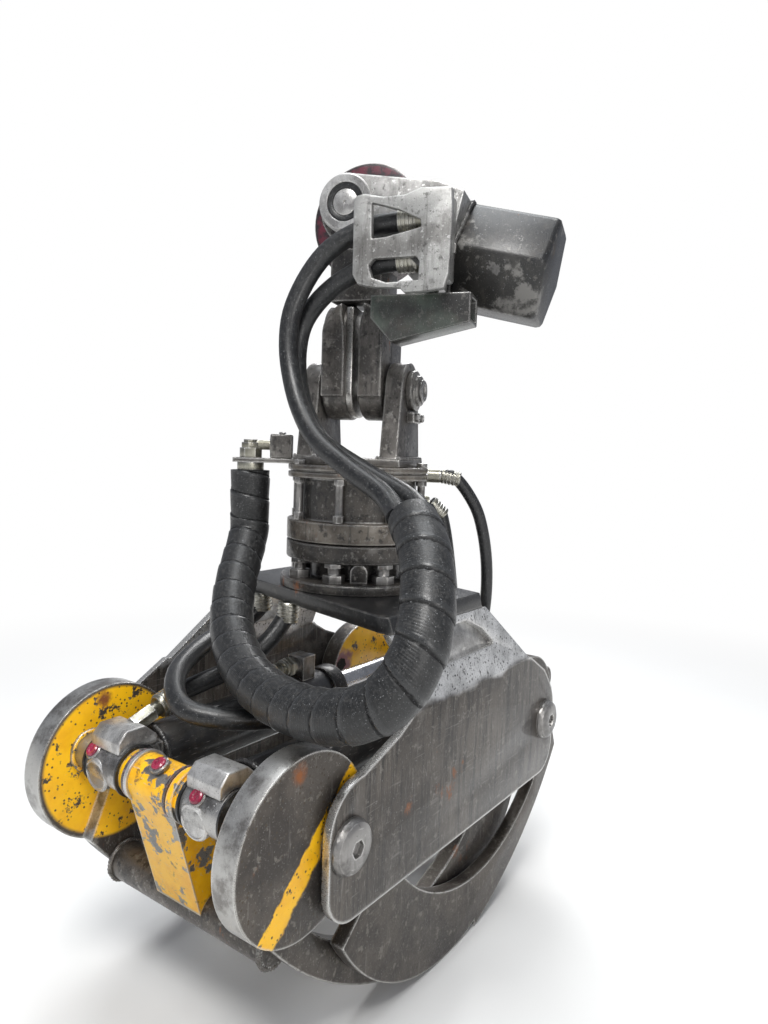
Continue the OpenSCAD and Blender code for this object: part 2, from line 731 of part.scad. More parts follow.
module cylinder_hoses() color(rubber) {
    tube([[-96, 148, 261.6], [-96, 148, 238], [-125, 160, 212], [-178, 152, 202],
        [-250, 128, 196], [-345, 80, 178], [-392, 15, 153], [-372, -38, 140],
        [-325, -75, 134], [-260, -104, 131], [-170, -112, 126], [-57.8, -110, 117]],
        cyl_hose_r, [0, 0.2, 1], 1);
    tube([[-348.6, 110, 120.2], [-312, 109, 132], [-262, 99, 144], [-212, 82, 160],
        [-164, 60, 198], [-132, 52, 236], [-126, 50, 259.8]],
        cyl_hose_r, [0, 1, 0], 2);
}

translate(-mount) {
    tip_fork();
    tip_tube();
    hose_guard();
    guard_fittings();
    hose_chute();
    upper_pin();
    link_body();
    brake_drum();
    link_cheeks();
    lower_pin();
    pin_caps();
    yoke();
    stator_flange();
    stator_body();
    stator_ring();
    tie_bolts();
    hose_bracket();
    manifold();
    drop_fittings();
    thin_fittings();
    rotor();
    mounting_bolts();
    port_plug();
    top_plate();
    side_plates();
    pocket_liners();
    pivot_pins();
    outer_arms();
    outer_crossbar();
    outer_crank();
    outer_sleeves();
    inner_arms();
    inner_crossbar();
    inner_blade();
    inner_crank();
    inner_sleeves();
    inner_crank_pin();
    crank_seals();
    barrels();
    glands();
    port_blocks();
    rod_end_ports();
    hose_ferrules();
    rods();
    rod_eyes();
    main_hoses();
    hose_wrap();
    thin_hose();
    cylinder_hoses();
}
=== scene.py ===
import json
import math

import bmesh
import bpy
from bpy.props import FloatProperty, FloatVectorProperty, IntProperty, PointerProperty
from mathutils import Matrix, Vector

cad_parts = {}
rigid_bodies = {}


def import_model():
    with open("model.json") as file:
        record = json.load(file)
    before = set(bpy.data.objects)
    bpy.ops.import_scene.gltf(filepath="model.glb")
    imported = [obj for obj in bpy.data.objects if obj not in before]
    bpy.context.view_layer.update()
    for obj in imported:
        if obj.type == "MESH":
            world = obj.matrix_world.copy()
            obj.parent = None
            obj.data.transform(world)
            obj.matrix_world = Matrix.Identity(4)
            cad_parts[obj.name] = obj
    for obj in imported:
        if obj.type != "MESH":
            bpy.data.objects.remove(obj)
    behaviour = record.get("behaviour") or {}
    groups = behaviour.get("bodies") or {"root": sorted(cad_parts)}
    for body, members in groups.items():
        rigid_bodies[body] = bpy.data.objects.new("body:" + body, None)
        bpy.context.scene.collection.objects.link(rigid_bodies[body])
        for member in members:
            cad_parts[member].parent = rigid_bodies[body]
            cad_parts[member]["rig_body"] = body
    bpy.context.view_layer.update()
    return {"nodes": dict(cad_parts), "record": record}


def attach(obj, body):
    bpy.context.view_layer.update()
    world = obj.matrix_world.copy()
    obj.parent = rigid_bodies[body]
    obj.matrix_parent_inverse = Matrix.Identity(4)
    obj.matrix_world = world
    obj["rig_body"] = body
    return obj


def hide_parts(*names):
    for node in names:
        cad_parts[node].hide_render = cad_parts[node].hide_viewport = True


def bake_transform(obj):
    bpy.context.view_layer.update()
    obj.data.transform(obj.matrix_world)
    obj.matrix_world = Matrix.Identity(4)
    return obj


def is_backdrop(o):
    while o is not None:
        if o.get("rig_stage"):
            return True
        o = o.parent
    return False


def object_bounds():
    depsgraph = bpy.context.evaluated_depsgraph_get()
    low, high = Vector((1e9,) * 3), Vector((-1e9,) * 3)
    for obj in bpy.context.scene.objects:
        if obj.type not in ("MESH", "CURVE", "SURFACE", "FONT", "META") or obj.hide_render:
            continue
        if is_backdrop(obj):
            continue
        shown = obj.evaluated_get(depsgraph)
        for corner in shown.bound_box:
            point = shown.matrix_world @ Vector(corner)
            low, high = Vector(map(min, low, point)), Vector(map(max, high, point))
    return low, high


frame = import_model()

bl_info = {
    "name": "Timber grapple finish",
    "version": (1, 0, 0),
    "blender": (4, 5, 0),
    "location": "3D View > Sidebar > Grapple",
    "description": "Paint, wear, hoses, welds and small fittings of a timber grapple on a boom tip",
    "category": "Object",
}

# The frame's origin in the grapple's own axes, in millimetres: X from the inner claw's pivot to
# the outer claw's, Y away from the near side plate, Z up from the pivots.
ORIGIN = Vector((102.051, -317.85, 838.087))
LINK_TURN = math.radians(17.8)                 # the link hangs turned from the grapple
LINK_TOP = 948                                 # height of the link's upper pin
BOOM_DIP = math.radians(13)                    # the boom runs down from its head


def grapple(x, y, z):
    """A point of the grapple's own axes, in the frame and in metres."""
    return (Vector((x, y, z)) - ORIGIN) / 1000


def link(x, y, z):
    """A point of the link's axes, whose origin is the upper pin, in the frame."""
    turned = Matrix.Rotation(LINK_TURN, 3, "Z") @ Vector((x, y, z))
    return grapple(turned.x, turned.y, turned.z + LINK_TOP)


def boom(x, y, z):
    """A point of the boom head's axes, in the frame."""
    dipped = Matrix.Rotation(BOOM_DIP, 3, "X") @ Vector((x, y, z))
    return link(*dipped)


def yoke(x, y, z):
    """A point of the yoke's axes, which stand over the rotator and turn with the link."""
    return link(x, y, z - LINK_TOP)


# the link's directions, and the two sides that many pieces come in
ACROSS, SIDE, UP = link(1, 0, 0) - link(0, 0, 0), link(0, 1, 0) - link(0, 0, 0), Vector((0, 0, 1))
HANDS = ((-1, "near"), (1, "far"))
# in the grapple's axes: the inner crank's pin is at -CRANK_X and CRANK_Z, the barrels lie
# BARREL_Y to each side with their ports at PORT_Z, and LOWER_PIN is the link's lower pin
CRANK_X, CRANK_Z, BARREL_Y, PORT_Z, LOWER_PIN = 425, 47, 110, 117, 645


class GrappleSizes(bpy.types.PropertyGroup):
    edge: FloatProperty(name="Edge rounding", description="Rounding of sawn and cast edges",
                        default=0.0018, min=0.0003, max=0.004, unit="LENGTH")
    wrap_pitch: FloatProperty(name="Wrap pitch", description="Width of one turn of the hose wrap",
                              default=0.043, min=0.02, max=0.06, unit="LENGTH")
    wrap_step: FloatProperty(name="Wrap step", description="Thickness of the hose wrap's strip",
                             default=0.0042, min=0.001, max=0.006, unit="LENGTH")
    weld: FloatProperty(name="Weld bead", description="Radius of a weld bead",
                        default=0.0042, min=0.002, max=0.007, unit="LENGTH")
    hose_sides: IntProperty(name="Hose sides", description="Sides of a round hose",
                            default=28, min=12, max=48)
    wear: FloatProperty(name="Edge wear", description="How far paint is worn off the edges",
                        default=0.55, min=0.0, max=1.0, subtype="FACTOR")


def colour_prop(name, description, default):
    return FloatVectorProperty(name=name, description=description, default=default,
                               subtype="COLOR", min=0, max=1)


class GrappleColours(bpy.types.PropertyGroup):
    black: colour_prop("Black paint", "Paint of the frame and link", (0.007, 0.0075, 0.0085))
    yellow: colour_prop("Yellow paint", "Paint of the crank bosses", (0.95, 0.52, 0.003))
    zinc: colour_prop("Zinc plating", "Hose fittings", (0.38, 0.37, 0.31))
    rust: colour_prop("Rust", "Rust in pits and on bare steel", (0.16, 0.055, 0.022))
    red: colour_prop("Red", "Grease caps and the brake drum's stripes", (0.33, 0.012, 0.055))
    green: colour_prop("Grey green paint", "Paint of the hose chute", (0.045, 0.058, 0.047))
    rubber: colour_prop("Rubber", "Hoses and their wrap", (0.0075, 0.008, 0.009))


def sizes():
    return bpy.context.scene.grapple_sizes


def colours():
    return bpy.context.scene.grapple_colours


class Recipe:
    """The nodes of one material: a base finish with others laid over it one by one."""

    def __init__(self, name, colour, rough, metal=0.0):
        self.material = bpy.data.materials.new(name)
        self.material.use_nodes = True
        self.tree = self.material.node_tree
        self.shader = self.tree.nodes["Principled BSDF"]
        self.place = self.tree.nodes.new("ShaderNodeTexCoord").outputs["Object"]
        self.made = 0
        self.colour, self.rough, self.metal, self.relief = colour, rough, metal, None
        self.face = self.add("ShaderNodeNewGeometry").outputs["Normal"]
        self.normal = self.add("ShaderNodeSeparateXYZ", {0: self.face}).outputs
        self.spot = self.add("ShaderNodeSeparateXYZ", {0: self.place}).outputs

    def add(self, kind, values=(), **settings):
        node = self.tree.nodes.new(kind)
        self.made += 1
        node.location = (-1600 + 170 * (self.made % 8), 600 - 190 * (self.made // 8))
        for name, value in settings.items():
            setattr(node, name, value)
        for socket, value in dict(values).items():
            self.put(node.inputs[socket], value)
        return node

    def put(self, socket, value):
        if isinstance(value, bpy.types.NodeSocket):
            self.tree.links.new(value, socket)
        elif hasattr(value, "__len__") and len(value) == 3 and socket.type == "RGBA":
            socket.default_value = (*value, 1)
        else:
            socket.default_value = value

    def mapped(self, stretch=(1, 1, 1), shift=(0, 0, 0), turn=0.0):
        return self.add("ShaderNodeMapping", {
            "Vector": self.place, "Location": shift, "Rotation": (0, 0, turn),
            "Scale": stretch}).outputs[0]

    def noise(self, scale, detail=5, rough=0.6, stretch=(1, 1, 1), shift=(0, 0, 0)):
        return self.add("ShaderNodeTexNoise", {
            "Vector": self.mapped(stretch, shift), "Scale": scale, "Detail": detail,
            "Roughness": rough}).outputs[0]

    def cells(self, scale, stretch=(1, 1, 1), shift=(0, 0, 0)):
        return self.add("ShaderNodeTexVoronoi", {"Vector": self.mapped(stretch, shift),
                                                 "Scale": scale}).outputs["Distance"]

    def between(self, value, low, high, to=(0, 1)):
        return self.add("ShaderNodeMapRange", {
            "Value": value, "From Min": low, "From Max": high, "To Min": to[0], "To Max": to[1]},
            interpolation_type="SMOOTHSTEP").outputs[0]

    def maths(self, operation, a, b=0.0):
        return self.add("ShaderNodeMath", {0: a, 1: b}, operation=operation).outputs[0]

    def both(self, *masks):
        out = masks[0]
        for mask in masks[1:]:
            out = self.maths("MULTIPLY", out, mask)
        return out

    def mix(self, factor, a, b):
        node = self.add("ShaderNodeMix", data_type="RGBA")
        for index, value in ((0, factor), (6, a), (7, b)):
            self.put(node.inputs[index], value)
        return node.outputs[2]

    def fade(self, factor, a, b):
        node = self.add("ShaderNodeMix", data_type="FLOAT")
        for index, value in ((0, factor), (2, a), (3, b)):
            self.put(node.inputs[index], value)
        return node.outputs[0]

    def lay(self, mask, colour=None, rough=None, metal=None, rise=0.0):
        """Lays a finish over the last one where the mask is 1; rise lifts or sinks it."""
        if colour is not None:
            self.colour = self.mix(mask, self.colour, colour)
        if rough is not None:
            self.rough = self.fade(mask, self.rough, rough)
        if metal is not None:
            self.metal = self.fade(mask, self.metal, metal)
        if rise:
            part = self.maths("MULTIPLY", mask, rise)
            self.relief = part if self.relief is None else self.maths("ADD", self.relief, part)

    # masks

    def edges(self, radius):
        """1 along sharp outer edges and 0 on flat faces."""
        soft = self.add("ShaderNodeBevel", {"Radius": radius}, samples=6).outputs[0]
        turn = self.add("ShaderNodeVectorMath", {0: soft, 1: self.face}, operation="DOT_PRODUCT")
        return self.between(turn.outputs["Value"], 0.985, 0.90)

    def facing_up(self, low=0.35, high=0.9):
        return self.between(self.normal[2], low, high)

    def facing(self, y_middle, way=1):
        """1 on sides that look away from the plane y = y_middle, or with a way of -1 at it."""
        away = self.maths("SIGN", self.maths("SUBTRACT", self.spot[1], y_middle))
        return self.between(self.both(away, self.normal[1], way), 0.5, 0.8)

    def flat_side(self):
        return self.between(self.maths("ABSOLUTE", self.normal[1]), 0.5, 0.8)

    def reach(self, x, z):
        """The distance from the line along Y through x and z."""
        dx = self.maths("SUBTRACT", self.spot[0], x)
        dz = self.maths("SUBTRACT", self.spot[2], z)
        return self.maths("SQRT", self.maths("ADD", self.maths("MULTIPLY", dx, dx),
                                             self.maths("MULTIPLY", dz, dz)))

    # finishes that most surfaces share

    def mottle(self, colour, scale=8, low=0.42, high=0.6, amount=1.0, shift=(0, 0, 0), **more):
        self.lay(self.between(self.noise(scale, 6, 0.66, (1, 1, 1), shift), low, high,
                              (0, amount)), colour, **more)

    def streaks(self, colour, amount, scale=22, shift=(0, 0, 0), low=0.5, high=0.68,
                stretch=(5, 5, 0.5), **more):
        self.lay(self.between(self.noise(scale, 6, 0.7, stretch, shift), low, high, (0, amount)),
                 colour, **more)

    def scratches(self, colour, amount, stretch=(0.5, 0.5, 8), shift=(1, 5, 3), scale=70, **more):
        self.lay(self.between(self.noise(scale, 2, 0.5, stretch, shift), 0.66, 0.70, (0, amount)),
                 colour, rise=-0.3, **more)

    def worn_edges(self, colour, amount, radius=0.005, rough=0.3, metal=0.9, broken=0.45):
        broken += 0.2 * (0.55 - sizes().wear)
        rim = self.both(self.edges(radius), self.between(self.noise(60, 6, 0.7), broken - 0.14,
                                                         broken + 0.04, (0, amount)))
        self.lay(rim, colour, rough, metal)

    def rust(self, amount, scale=17):
        tone = colours()
        spots = self.between(self.noise(scale, 8, 0.72, (1, 1, 0.6), (2, 9, 6)),
                             0.70 - amount * 0.2, 0.76 - amount * 0.18)
        shade = self.mix(self.noise(150, 5), tone.rust, (0.26, 0.10, 0.035))
        self.lay(self.both(spots, self.between(self.noise(180, 5, 0.7), 0.3, 0.55)), shade, 0.75,
                 0.0, 0.4)

    def specks(self, colour, amount=0.8, scale=150, size=0.22, rough=None, rise=0.0,
               shift=(4, 1, 7)):
        """Small round spots of uneven size."""
        spot = self.maths("ADD", self.cells(scale, (1, 1, 1), shift),
                          self.between(self.noise(scale * 0.5, 2, 0.5, (1, 1, 1), shift), 0.35,
                                       0.6, (0.25, 0)))
        self.lay(self.between(spot, size, size * 0.5, (0, amount)), colour, rough, None, rise)

    def drops(self, amount=1.0, scale=170, colour=(0.42, 0.43, 0.45)):
        """Water drops: small glossy beads, raised by bump, whose glints are painted in as a pale
        colour.
        """
        self.specks(self.mix(0.55, self.colour, colour), amount * 0.8, scale, 0.17, 0.05, 1.6,
                    (9, 2, 3))
        self.specks(self.mix(0.4, self.colour, colour), amount * 0.7, scale * 2.1, 0.19, 0.06, 1.0,
                    (5, 8, 1))

    def dust(self, colour, amount, scale=70):
        self.lay(self.both(self.facing_up(), self.between(self.noise(scale, 7, 0.75), 0.46, 0.6,
                                                          (0, amount))), colour, 0.85, 0.0, 0.3)

    def finish(self, grain=0.5, strength=0.5, distance=0.0009, wet=0.15):
        fine = self.noise(420, 5, 0.7)
        relief = self.maths("MULTIPLY", fine, grain)
        if self.relief is not None:
            relief = self.maths("ADD", relief, self.relief)
        bump = self.add("ShaderNodeBump", {"Height": relief, "Strength": strength,
                                           "Distance": distance}).outputs[0]
        rough = self.maths("ADD", self.rough, self.between(fine, 0.3, 0.7, (-0.06, 0.10)))
        for socket, value in (("Base Color", self.colour), ("Roughness", rough),
                              ("Metallic", self.metal), ("Normal", bump), ("Coat Weight", wet),
                              ("Coat Roughness", 0.12)):
            self.put(self.shader.inputs[socket], value)
        return self.material


# the dark specks on worn steel and on machined steel, and the deeper tone in the yellow
SOOT, GRIT, DEEP_YELLOW = (0.018, 0.017, 0.016), (0.03, 0.028, 0.026), (0.85, 0.42, 0.003)
CHEEK = 0.130                                  # radius of the claws' round cheeks, in metres
BAND = 8.8                                     # pitch of the brake drum's bands, in millimetres


def black_paint(name, brown=0.25, worn=0.7, wet=0.12, paint=None):
    """Dark paint, wet, scuffed to steel along its edges, with dried mud and rust."""
    r = Recipe(name, paint or colours().black, 0.36)
    r.mottle((0.015, 0.0145, 0.0135), 7)
    r.mottle((0.050, 0.041, 0.033), 16, 0.56, 0.70, brown * 1.3, (3, 1, 5), rough=0.6)
    r.streaks((0.060, 0.054, 0.047), 0.3 * brown + 0.1, 16, (2, 2, 2))
    r.scratches((0.24, 0.23, 0.22), 0.3, (7, 7, 2.5), (2, 7, 4), 110)
    r.mottle((0.10, 0.095, 0.088), 90, 0.58, 0.65, 0.5 + 0.4 * brown, (2, 7, 1), rough=0.45)
    r.mottle((0.22, 0.215, 0.21), 13, 0.645, 0.665, worn * 0.7, (5, 2, 7), rough=0.35, metal=0.7,
             rise=-0.5)
    if brown > 0.5:
        r.mottle((0.21, 0.205, 0.195), 11, 0.56, 0.62, 0.85, (8, 2, 2), rough=0.42, metal=0.5)
        r.mottle((0.02, 0.019, 0.018), 30, 0.5, 0.62, 0.8, (1, 8, 2))
    r.worn_edges((0.40, 0.39, 0.38), worn, 0.006)
    r.rust(0.18)
    r.drops(0.9)
    return r.finish(0.5, 0.5, 0.0009, wet)


def grey_casting(name, light=(0.36, 0.36, 0.35), dark=(0.11, 0.105, 0.10), shade=0.75):
    """Cast steel, pale and wet, with dark grease in its hollows and fine black specks."""
    r = Recipe(name, light, 0.38, 0.55)
    r.mottle(dark, 9, 0.44, 0.62, shade, rough=0.5)
    r.mottle((0.035, 0.033, 0.032), 21, 0.56, 0.72, shade, (3, 3, 1), rough=0.55, metal=0.1)
    r.streaks((0.06, 0.055, 0.05), 0.45, 20)
    r.scratches((0.62, 0.62, 0.61), 0.3, (4, 2, 3), (1, 2, 8), 90)
    r.mottle((0.06, 0.058, 0.055), 80, 0.56, 0.64, 0.7, (2, 7, 1), rough=0.5)
    r.mottle((0.56, 0.56, 0.55), 95, 0.60, 0.66, 0.7, (7, 7, 1), rough=0.3)
    r.specks((0.03, 0.03, 0.03), 0.6, 160, 0.20)
    r.worn_edges((0.66, 0.66, 0.65), 0.9, 0.006)
    r.rust(0.12)
    r.drops(0.8, 180, (0.8, 0.8, 0.8))
    return r.finish(0.7, 0.55, 0.0010, 0.3)


def link_steel(name, base=(0.105, 0.098, 0.090), dark=(0.030, 0.028, 0.027), rusty=0.25):
    """Brown grey speckled steel with little paint left and bright worn edges."""
    r = Recipe(name, base, 0.42, 0.35)
    r.mottle(dark, 11, 0.42, 0.58, 0.85, rough=0.5)
    r.streaks((0.022, 0.021, 0.021), 0.6, 18, (4, 2, 2))
    r.mottle((0.30, 0.29, 0.275), 24, 0.60, 0.68, 0.6, (2, 6, 3), rough=0.35, metal=0.7)
    r.specks((0.25, 0.24, 0.23), 0.55, 150, 0.2, shift=(1, 1, 6))
    r.specks((0.02, 0.02, 0.02), 0.6, 190, 0.2)
    r.scratches((0.34, 0.33, 0.31), 0.3, (6, 6, 2.2), (8, 1, 3), 120)
    r.mottle((0.24, 0.23, 0.21), 85, 0.57, 0.64, 0.6, (2, 7, 1), rough=0.36, metal=0.5)
    r.mottle((0.016, 0.015, 0.015), 70, 0.55, 0.63, 0.75, (7, 7, 1), rough=0.55)
    r.worn_edges((0.58, 0.57, 0.55), 1.0, 0.007)
    r.rust(rusty)
    r.drops(0.6)
    return r.finish(0.7, 0.6, 0.0010, 0.3)


def side_plate_steel():
    """Dark streaky brown steel below the bend, and above it the shoulder: pale worn steel whose
    brightness is in part a painted wet sheen.
    """
    bend_height = -0.675                       # the plates' bend, in the frame
    r = Recipe("side plate steel", (0.092, 0.079, 0.067), 0.40, 0.45)
    r.mottle((0.040, 0.034, 0.030), 6, 0.40, 0.62, 0.85)
    r.streaks((0.020, 0.018, 0.017), 0.8, 14, (3, 3, 3), 0.47, 0.62, (7, 7, 0.35))
    r.streaks((0.27, 0.255, 0.235), 0.55, 26, (7, 1, 4), 0.55, 0.74, (6, 6, 0.4))
    r.scratches((0.33, 0.315, 0.295), 0.4, (12, 12, 0.6), (8, 1, 3), 80)
    r.mottle((0.19, 0.175, 0.155), 70, 0.58, 0.66, 0.55, (2, 7, 1))
    r.specks((0.42, 0.41, 0.39), 0.5, 230, 0.15, shift=(2, 2, 6))
    r.scratches((0.30, 0.285, 0.265), 0.3, (0.35, 0.35, 7), (1, 5, 3), 50)
    r.mottle((0.25, 0.235, 0.215), 7, 0.55, 0.75, 0.6, (6, 6, 2), rough=0.34, metal=0.6)
    r.specks(SOOT, 0.7, 130, 0.2)
    r.rust(0.30, 13)
    # above the bend the steel is laid in pale greys: worn steel with a painted wet sheen, under
    # dark dots and streaks
    bend = r.between(r.maths("ADD", r.spot[2], r.maths("MULTIPLY", r.noise(9), 0.05)),
                     bend_height, bend_height + 0.015)
    pale_steel_and_painted_sheen = r.mix(r.between(r.noise(14, 6, 0.7), 0.4, 0.66), (0.62, 0.62, 0.62),
                  (0.36, 0.36, 0.36))
    r.lay(bend, pale_steel_and_painted_sheen, 0.30, 0.45)
    r.lay(r.both(bend, r.between(r.noise(30, 5, 0.7, (5, 5, 0.6), (3, 1, 9)), 0.55, 0.7)),
          (0.12, 0.118, 0.115))
    r.lay(r.both(bend, r.between(r.cells(120, (1, 1, 1), (3, 3, 3)), 0.30, 0.14)),
          (0.035, 0.035, 0.035), 0.4, 0.2, 0.3)
    r.lay(r.both(bend, r.between(r.noise(75, 5, 0.75, (1, 1, 1), (2, 2, 8)), 0.60, 0.66)),
          (0.028, 0.028, 0.028), 0.5, 0.1)
    rim = r.both(r.between(r.maths("ABSOLUTE", r.normal[1]), 0.30, 0.15),
                 r.between(r.noise(40, 6, 0.7), 0.28, 0.5))
    r.lay(rim, (0.50, 0.49, 0.47), 0.28, 0.8)
    r.worn_edges((0.70, 0.69, 0.67), 1.0, 0.010, 0.25, 0.95, 0.36)
    r.drops(0.9, 150, (0.75, 0.75, 0.75))
    return r.finish(0.6, 0.55, 0.0010, 0.3)


def claw_steel(name, disc_x, inside_x, hole=None):
    """A claw's arms: worn steel, and round cheeks with a silver rim and yellow left on them."""
    tone = colours()
    disc, facing = grapple(disc_x, 0, 18), grapple(inside_x, 0, 20)
    middle = grapple(0, 0, 0).y
    r = Recipe(name, (0.085, 0.072, 0.060), 0.44, 0.4)
    r.mottle((0.036, 0.030, 0.026), 9, 0.40, 0.6, 0.9)
    r.streaks((0.26, 0.245, 0.225), 0.5, 24, (7, 1, 4), 0.56, 0.74)
    r.scratches((0.34, 0.325, 0.305), 0.5, (6, 6, 1.5), (8, 1, 3), 110)
    r.mottle((0.20, 0.185, 0.16), 60, 0.56, 0.64, 0.6, (2, 7, 1))
    r.specks((0.45, 0.44, 0.41), 0.6, 210, 0.16, shift=(2, 2, 6))
    r.rust(0.35, 13)
    r.specks(SOOT, 0.7, 140, 0.2)
    near = r.between(r.reach(disc.x, disc.z), CHEEK + 0.001, CHEEK - 0.001)
    flat = r.flat_side()
    rim = r.both(near, r.maths("SUBTRACT", 1.0, flat))
    silver = r.mix(r.between(r.noise(20, 6, 0.7), 0.42, 0.62), (0.46, 0.455, 0.44),
                   (0.20, 0.19, 0.18))
    r.lay(rim, silver, 0.32, 0.85)
    flaked = r.between(r.noise(24, 7, 0.72, (1, 1, 1), (3, 1, 1)), 0.60, 0.57)
    yellow = r.mix(r.between(r.noise(30, 5), 0.4, 0.7), tone.yellow, DEEP_YELLOW)
    # yellow is left on the cheek's inside, and in one slanting stripe on its outside
    inside = r.both(r.facing(middle, -1), flaked,
                    r.between(r.reach(facing.x, facing.z), 0.121, 0.114))
    slant = r.maths("SUBTRACT", r.spot[2], r.spot[0])
    ragged = r.maths("ADD", slant, r.maths("MULTIPLY", r.noise(60, 4), 0.02))
    stripe = r.both(near, r.facing(middle), flaked, r.between(ragged, -0.326, -0.331),
                    r.between(ragged, -0.382, -0.374))
    r.lay(r.maths("MAXIMUM", inside, stripe), yellow, 0.45, 0.0, 0.5)
    r.lay(r.both(near, flat, r.between(r.cells(110, (1, 1, 1), (1, 7, 3)), 0.26, 0.12)),
          (0.05, 0.035, 0.02), 0.6, 0.0)
    rusty_patch = grapple(-400, 0, 122)
    r.lay(r.both(near, flat, r.between(r.maths("ADD", r.reach(rusty_patch.x, rusty_patch.z),
                                               r.maths("MULTIPLY", r.noise(50, 6), 0.03)), 0.032,
                                       0.020)), (0.22, 0.07, 0.015), 0.7, 0.0)
    if hole:
        # a hole in the inside, drawn as a disc of painted shade sunk only by bump, with dried red
        # grease round it
        spot = grapple(hole[0], 0, hole[1])
        ring = r.maths("ADD", r.reach(spot.x, spot.z), r.maths("MULTIPLY", r.noise(45, 6), 0.05))
        r.lay(r.both(r.facing(middle, -1), r.between(ring, 0.070, 0.050)),
              (0.30, 0.13, 0.14), 0.4, 0.0)
        r.lay(r.both(r.facing(middle, -1), r.between(ring, 0.042, 0.038)),
              (0.006, 0.005, 0.005), 0.8, 0.0, -2.0)
    r.worn_edges((0.66, 0.65, 0.62), 1.0, 0.007, 0.26)
    r.drops(0.5)
    return r.finish(0.6, 0.55, 0.0010, 0.12)


def worn_yellow(name, left):
    """Yellow paint worn through in patches to bright steel, with dark grease beside it."""
    tone = colours()
    r = Recipe(name, (0.33, 0.325, 0.31), 0.32, 0.8)
    r.mottle((0.13, 0.125, 0.12), 17, 0.45, 0.65, 0.8, (1, 4, 4))
    r.specks(GRIT, 0.7, 150, 0.22)
    paint = r.between(r.noise(19, 6, 0.66, (1, 1, 1), (8, 3, 2)), 0.60 - left * 0.28,
                      0.62 - left * 0.28)
    yellow = r.mix(r.between(r.noise(34, 5), 0.42, 0.68), tone.yellow, DEEP_YELLOW)
    r.lay(paint, yellow, 0.4, 0.0, 0.7)
    r.mottle((0.04, 0.022, 0.028), 28, 0.60, 0.68, 0.85, (2, 2, 5), rough=0.35, metal=0.0)
    r.scratches((0.5, 0.49, 0.47), 0.5, (4, 0.5, 4), (3, 3, 3))
    r.worn_edges((0.62, 0.61, 0.58), 0.9, 0.006)
    r.dust((0.10, 0.065, 0.04), 0.35, 60)
    r.drops(0.5)
    return r.finish(0.5, 0.5, 0.0009, 0.08)


def bare_steel(name, light, dark, shine=0.85, rough=0.32, rusty=0.1, grease=0.4):
    """Machined or forged steel: streaks, scratches, grease and a little rust."""
    r = Recipe(name, light, rough, shine)
    r.mottle(dark, 14, 0.42, 0.62, 0.9)
    r.mottle((0.030, 0.026, 0.026), 26, 0.60, 0.72, grease, (3, 8, 1), rough=0.4, metal=0.1)
    r.streaks(dark, 0.5, 24, (4, 4, 4))
    r.scratches((0.64, 0.63, 0.61), 0.55, (0.6, 7, 0.6), (1, 5, 3))
    r.specks(GRIT, 0.6, 170, 0.2)
    r.worn_edges((0.70, 0.69, 0.67), 0.9, 0.005)
    if rusty:
        r.rust(rusty)
    r.drops(0.5, 190, (0.8, 0.8, 0.8))
    return r.finish(0.45, 0.45, 0.0008, 0.2)


def barrel_steel():
    """A cylinder's barrel: black wet tube, and its forged eye bright."""
    r = Recipe("barrel steel", (0.022, 0.022, 0.023), 0.34, 0.1)
    r.mottle((0.06, 0.055, 0.05), 14, 0.5, 0.66, 0.8, rough=0.5)
    r.scratches((0.30, 0.29, 0.28), 0.6, (0.5, 6, 6), (2, 1, 4))
    eye = r.between(r.reach(grapple(-CRANK_X, 0, 0).x, grapple(0, 0, CRANK_Z).z), 0.052, 0.047)
    silver = r.mix(r.between(r.noise(22, 6, 0.7), 0.42, 0.64), (0.44, 0.435, 0.425),
                   (0.15, 0.145, 0.14))
    r.lay(eye, silver, 0.3, 0.85)
    r.specks(GRIT, 0.6, 170, 0.2)
    r.worn_edges((0.66, 0.65, 0.63), 0.8, 0.005)
    r.drops(0.8)
    return r.finish(0.5, 0.5, 0.0009, 0.3)


def striped_red():
    """Bands of dark red and purple black round the brake drum."""
    tone = colours()
    r = Recipe("striped red", (0.012, 0.008, 0.011), 0.42)
    turned_place = r.mapped(turn=-LINK_TURN)
    along = r.add("ShaderNodeSeparateXYZ", {0: turned_place}).outputs[0]
    wave = r.maths("SINE", r.maths("MULTIPLY", along, 2000 * math.pi / BAND))
    r.lay(r.both(r.between(wave, -0.1, 0.7), r.between(r.noise(50, 6), 0.42, 0.58)),
          r.mix(0.5, tone.red, (0.022, 0.012, 0.016)), 0.35, 0.0, 0.8)
    r.lay(r.both(r.between(wave, 0.75, 0.98), r.between(r.noise(70, 5, 0.7), 0.42, 0.56)),
          (0.22, 0.16, 0.17), 0.35, 0.2)
    r.mottle((0.010, 0.008, 0.009), 40, 0.52, 0.62, 0.85, (5, 5, 2))
    r.mottle((0.10, 0.09, 0.085), 26, 0.60, 0.7, 0.7, rough=0.6)
    r.worn_edges((0.36, 0.33, 0.32), 0.7, 0.005)
    r.drops(0.7)
    return r.finish(0.5, 0.5, 0.0009, 0.3)


def red_grease():
    tone = colours()
    r = Recipe("red grease cap", tone.red, 0.24)
    r.mottle((0.15, 0.01, 0.03), 60, 0.4, 0.6, 0.9)
    r.specks((0.75, 0.45, 0.5), 0.5, 400, 0.2, 0.1)
    r.drops(0.9, 300)
    return r.finish(0.4, 0.4, 0.0006, 0.6)


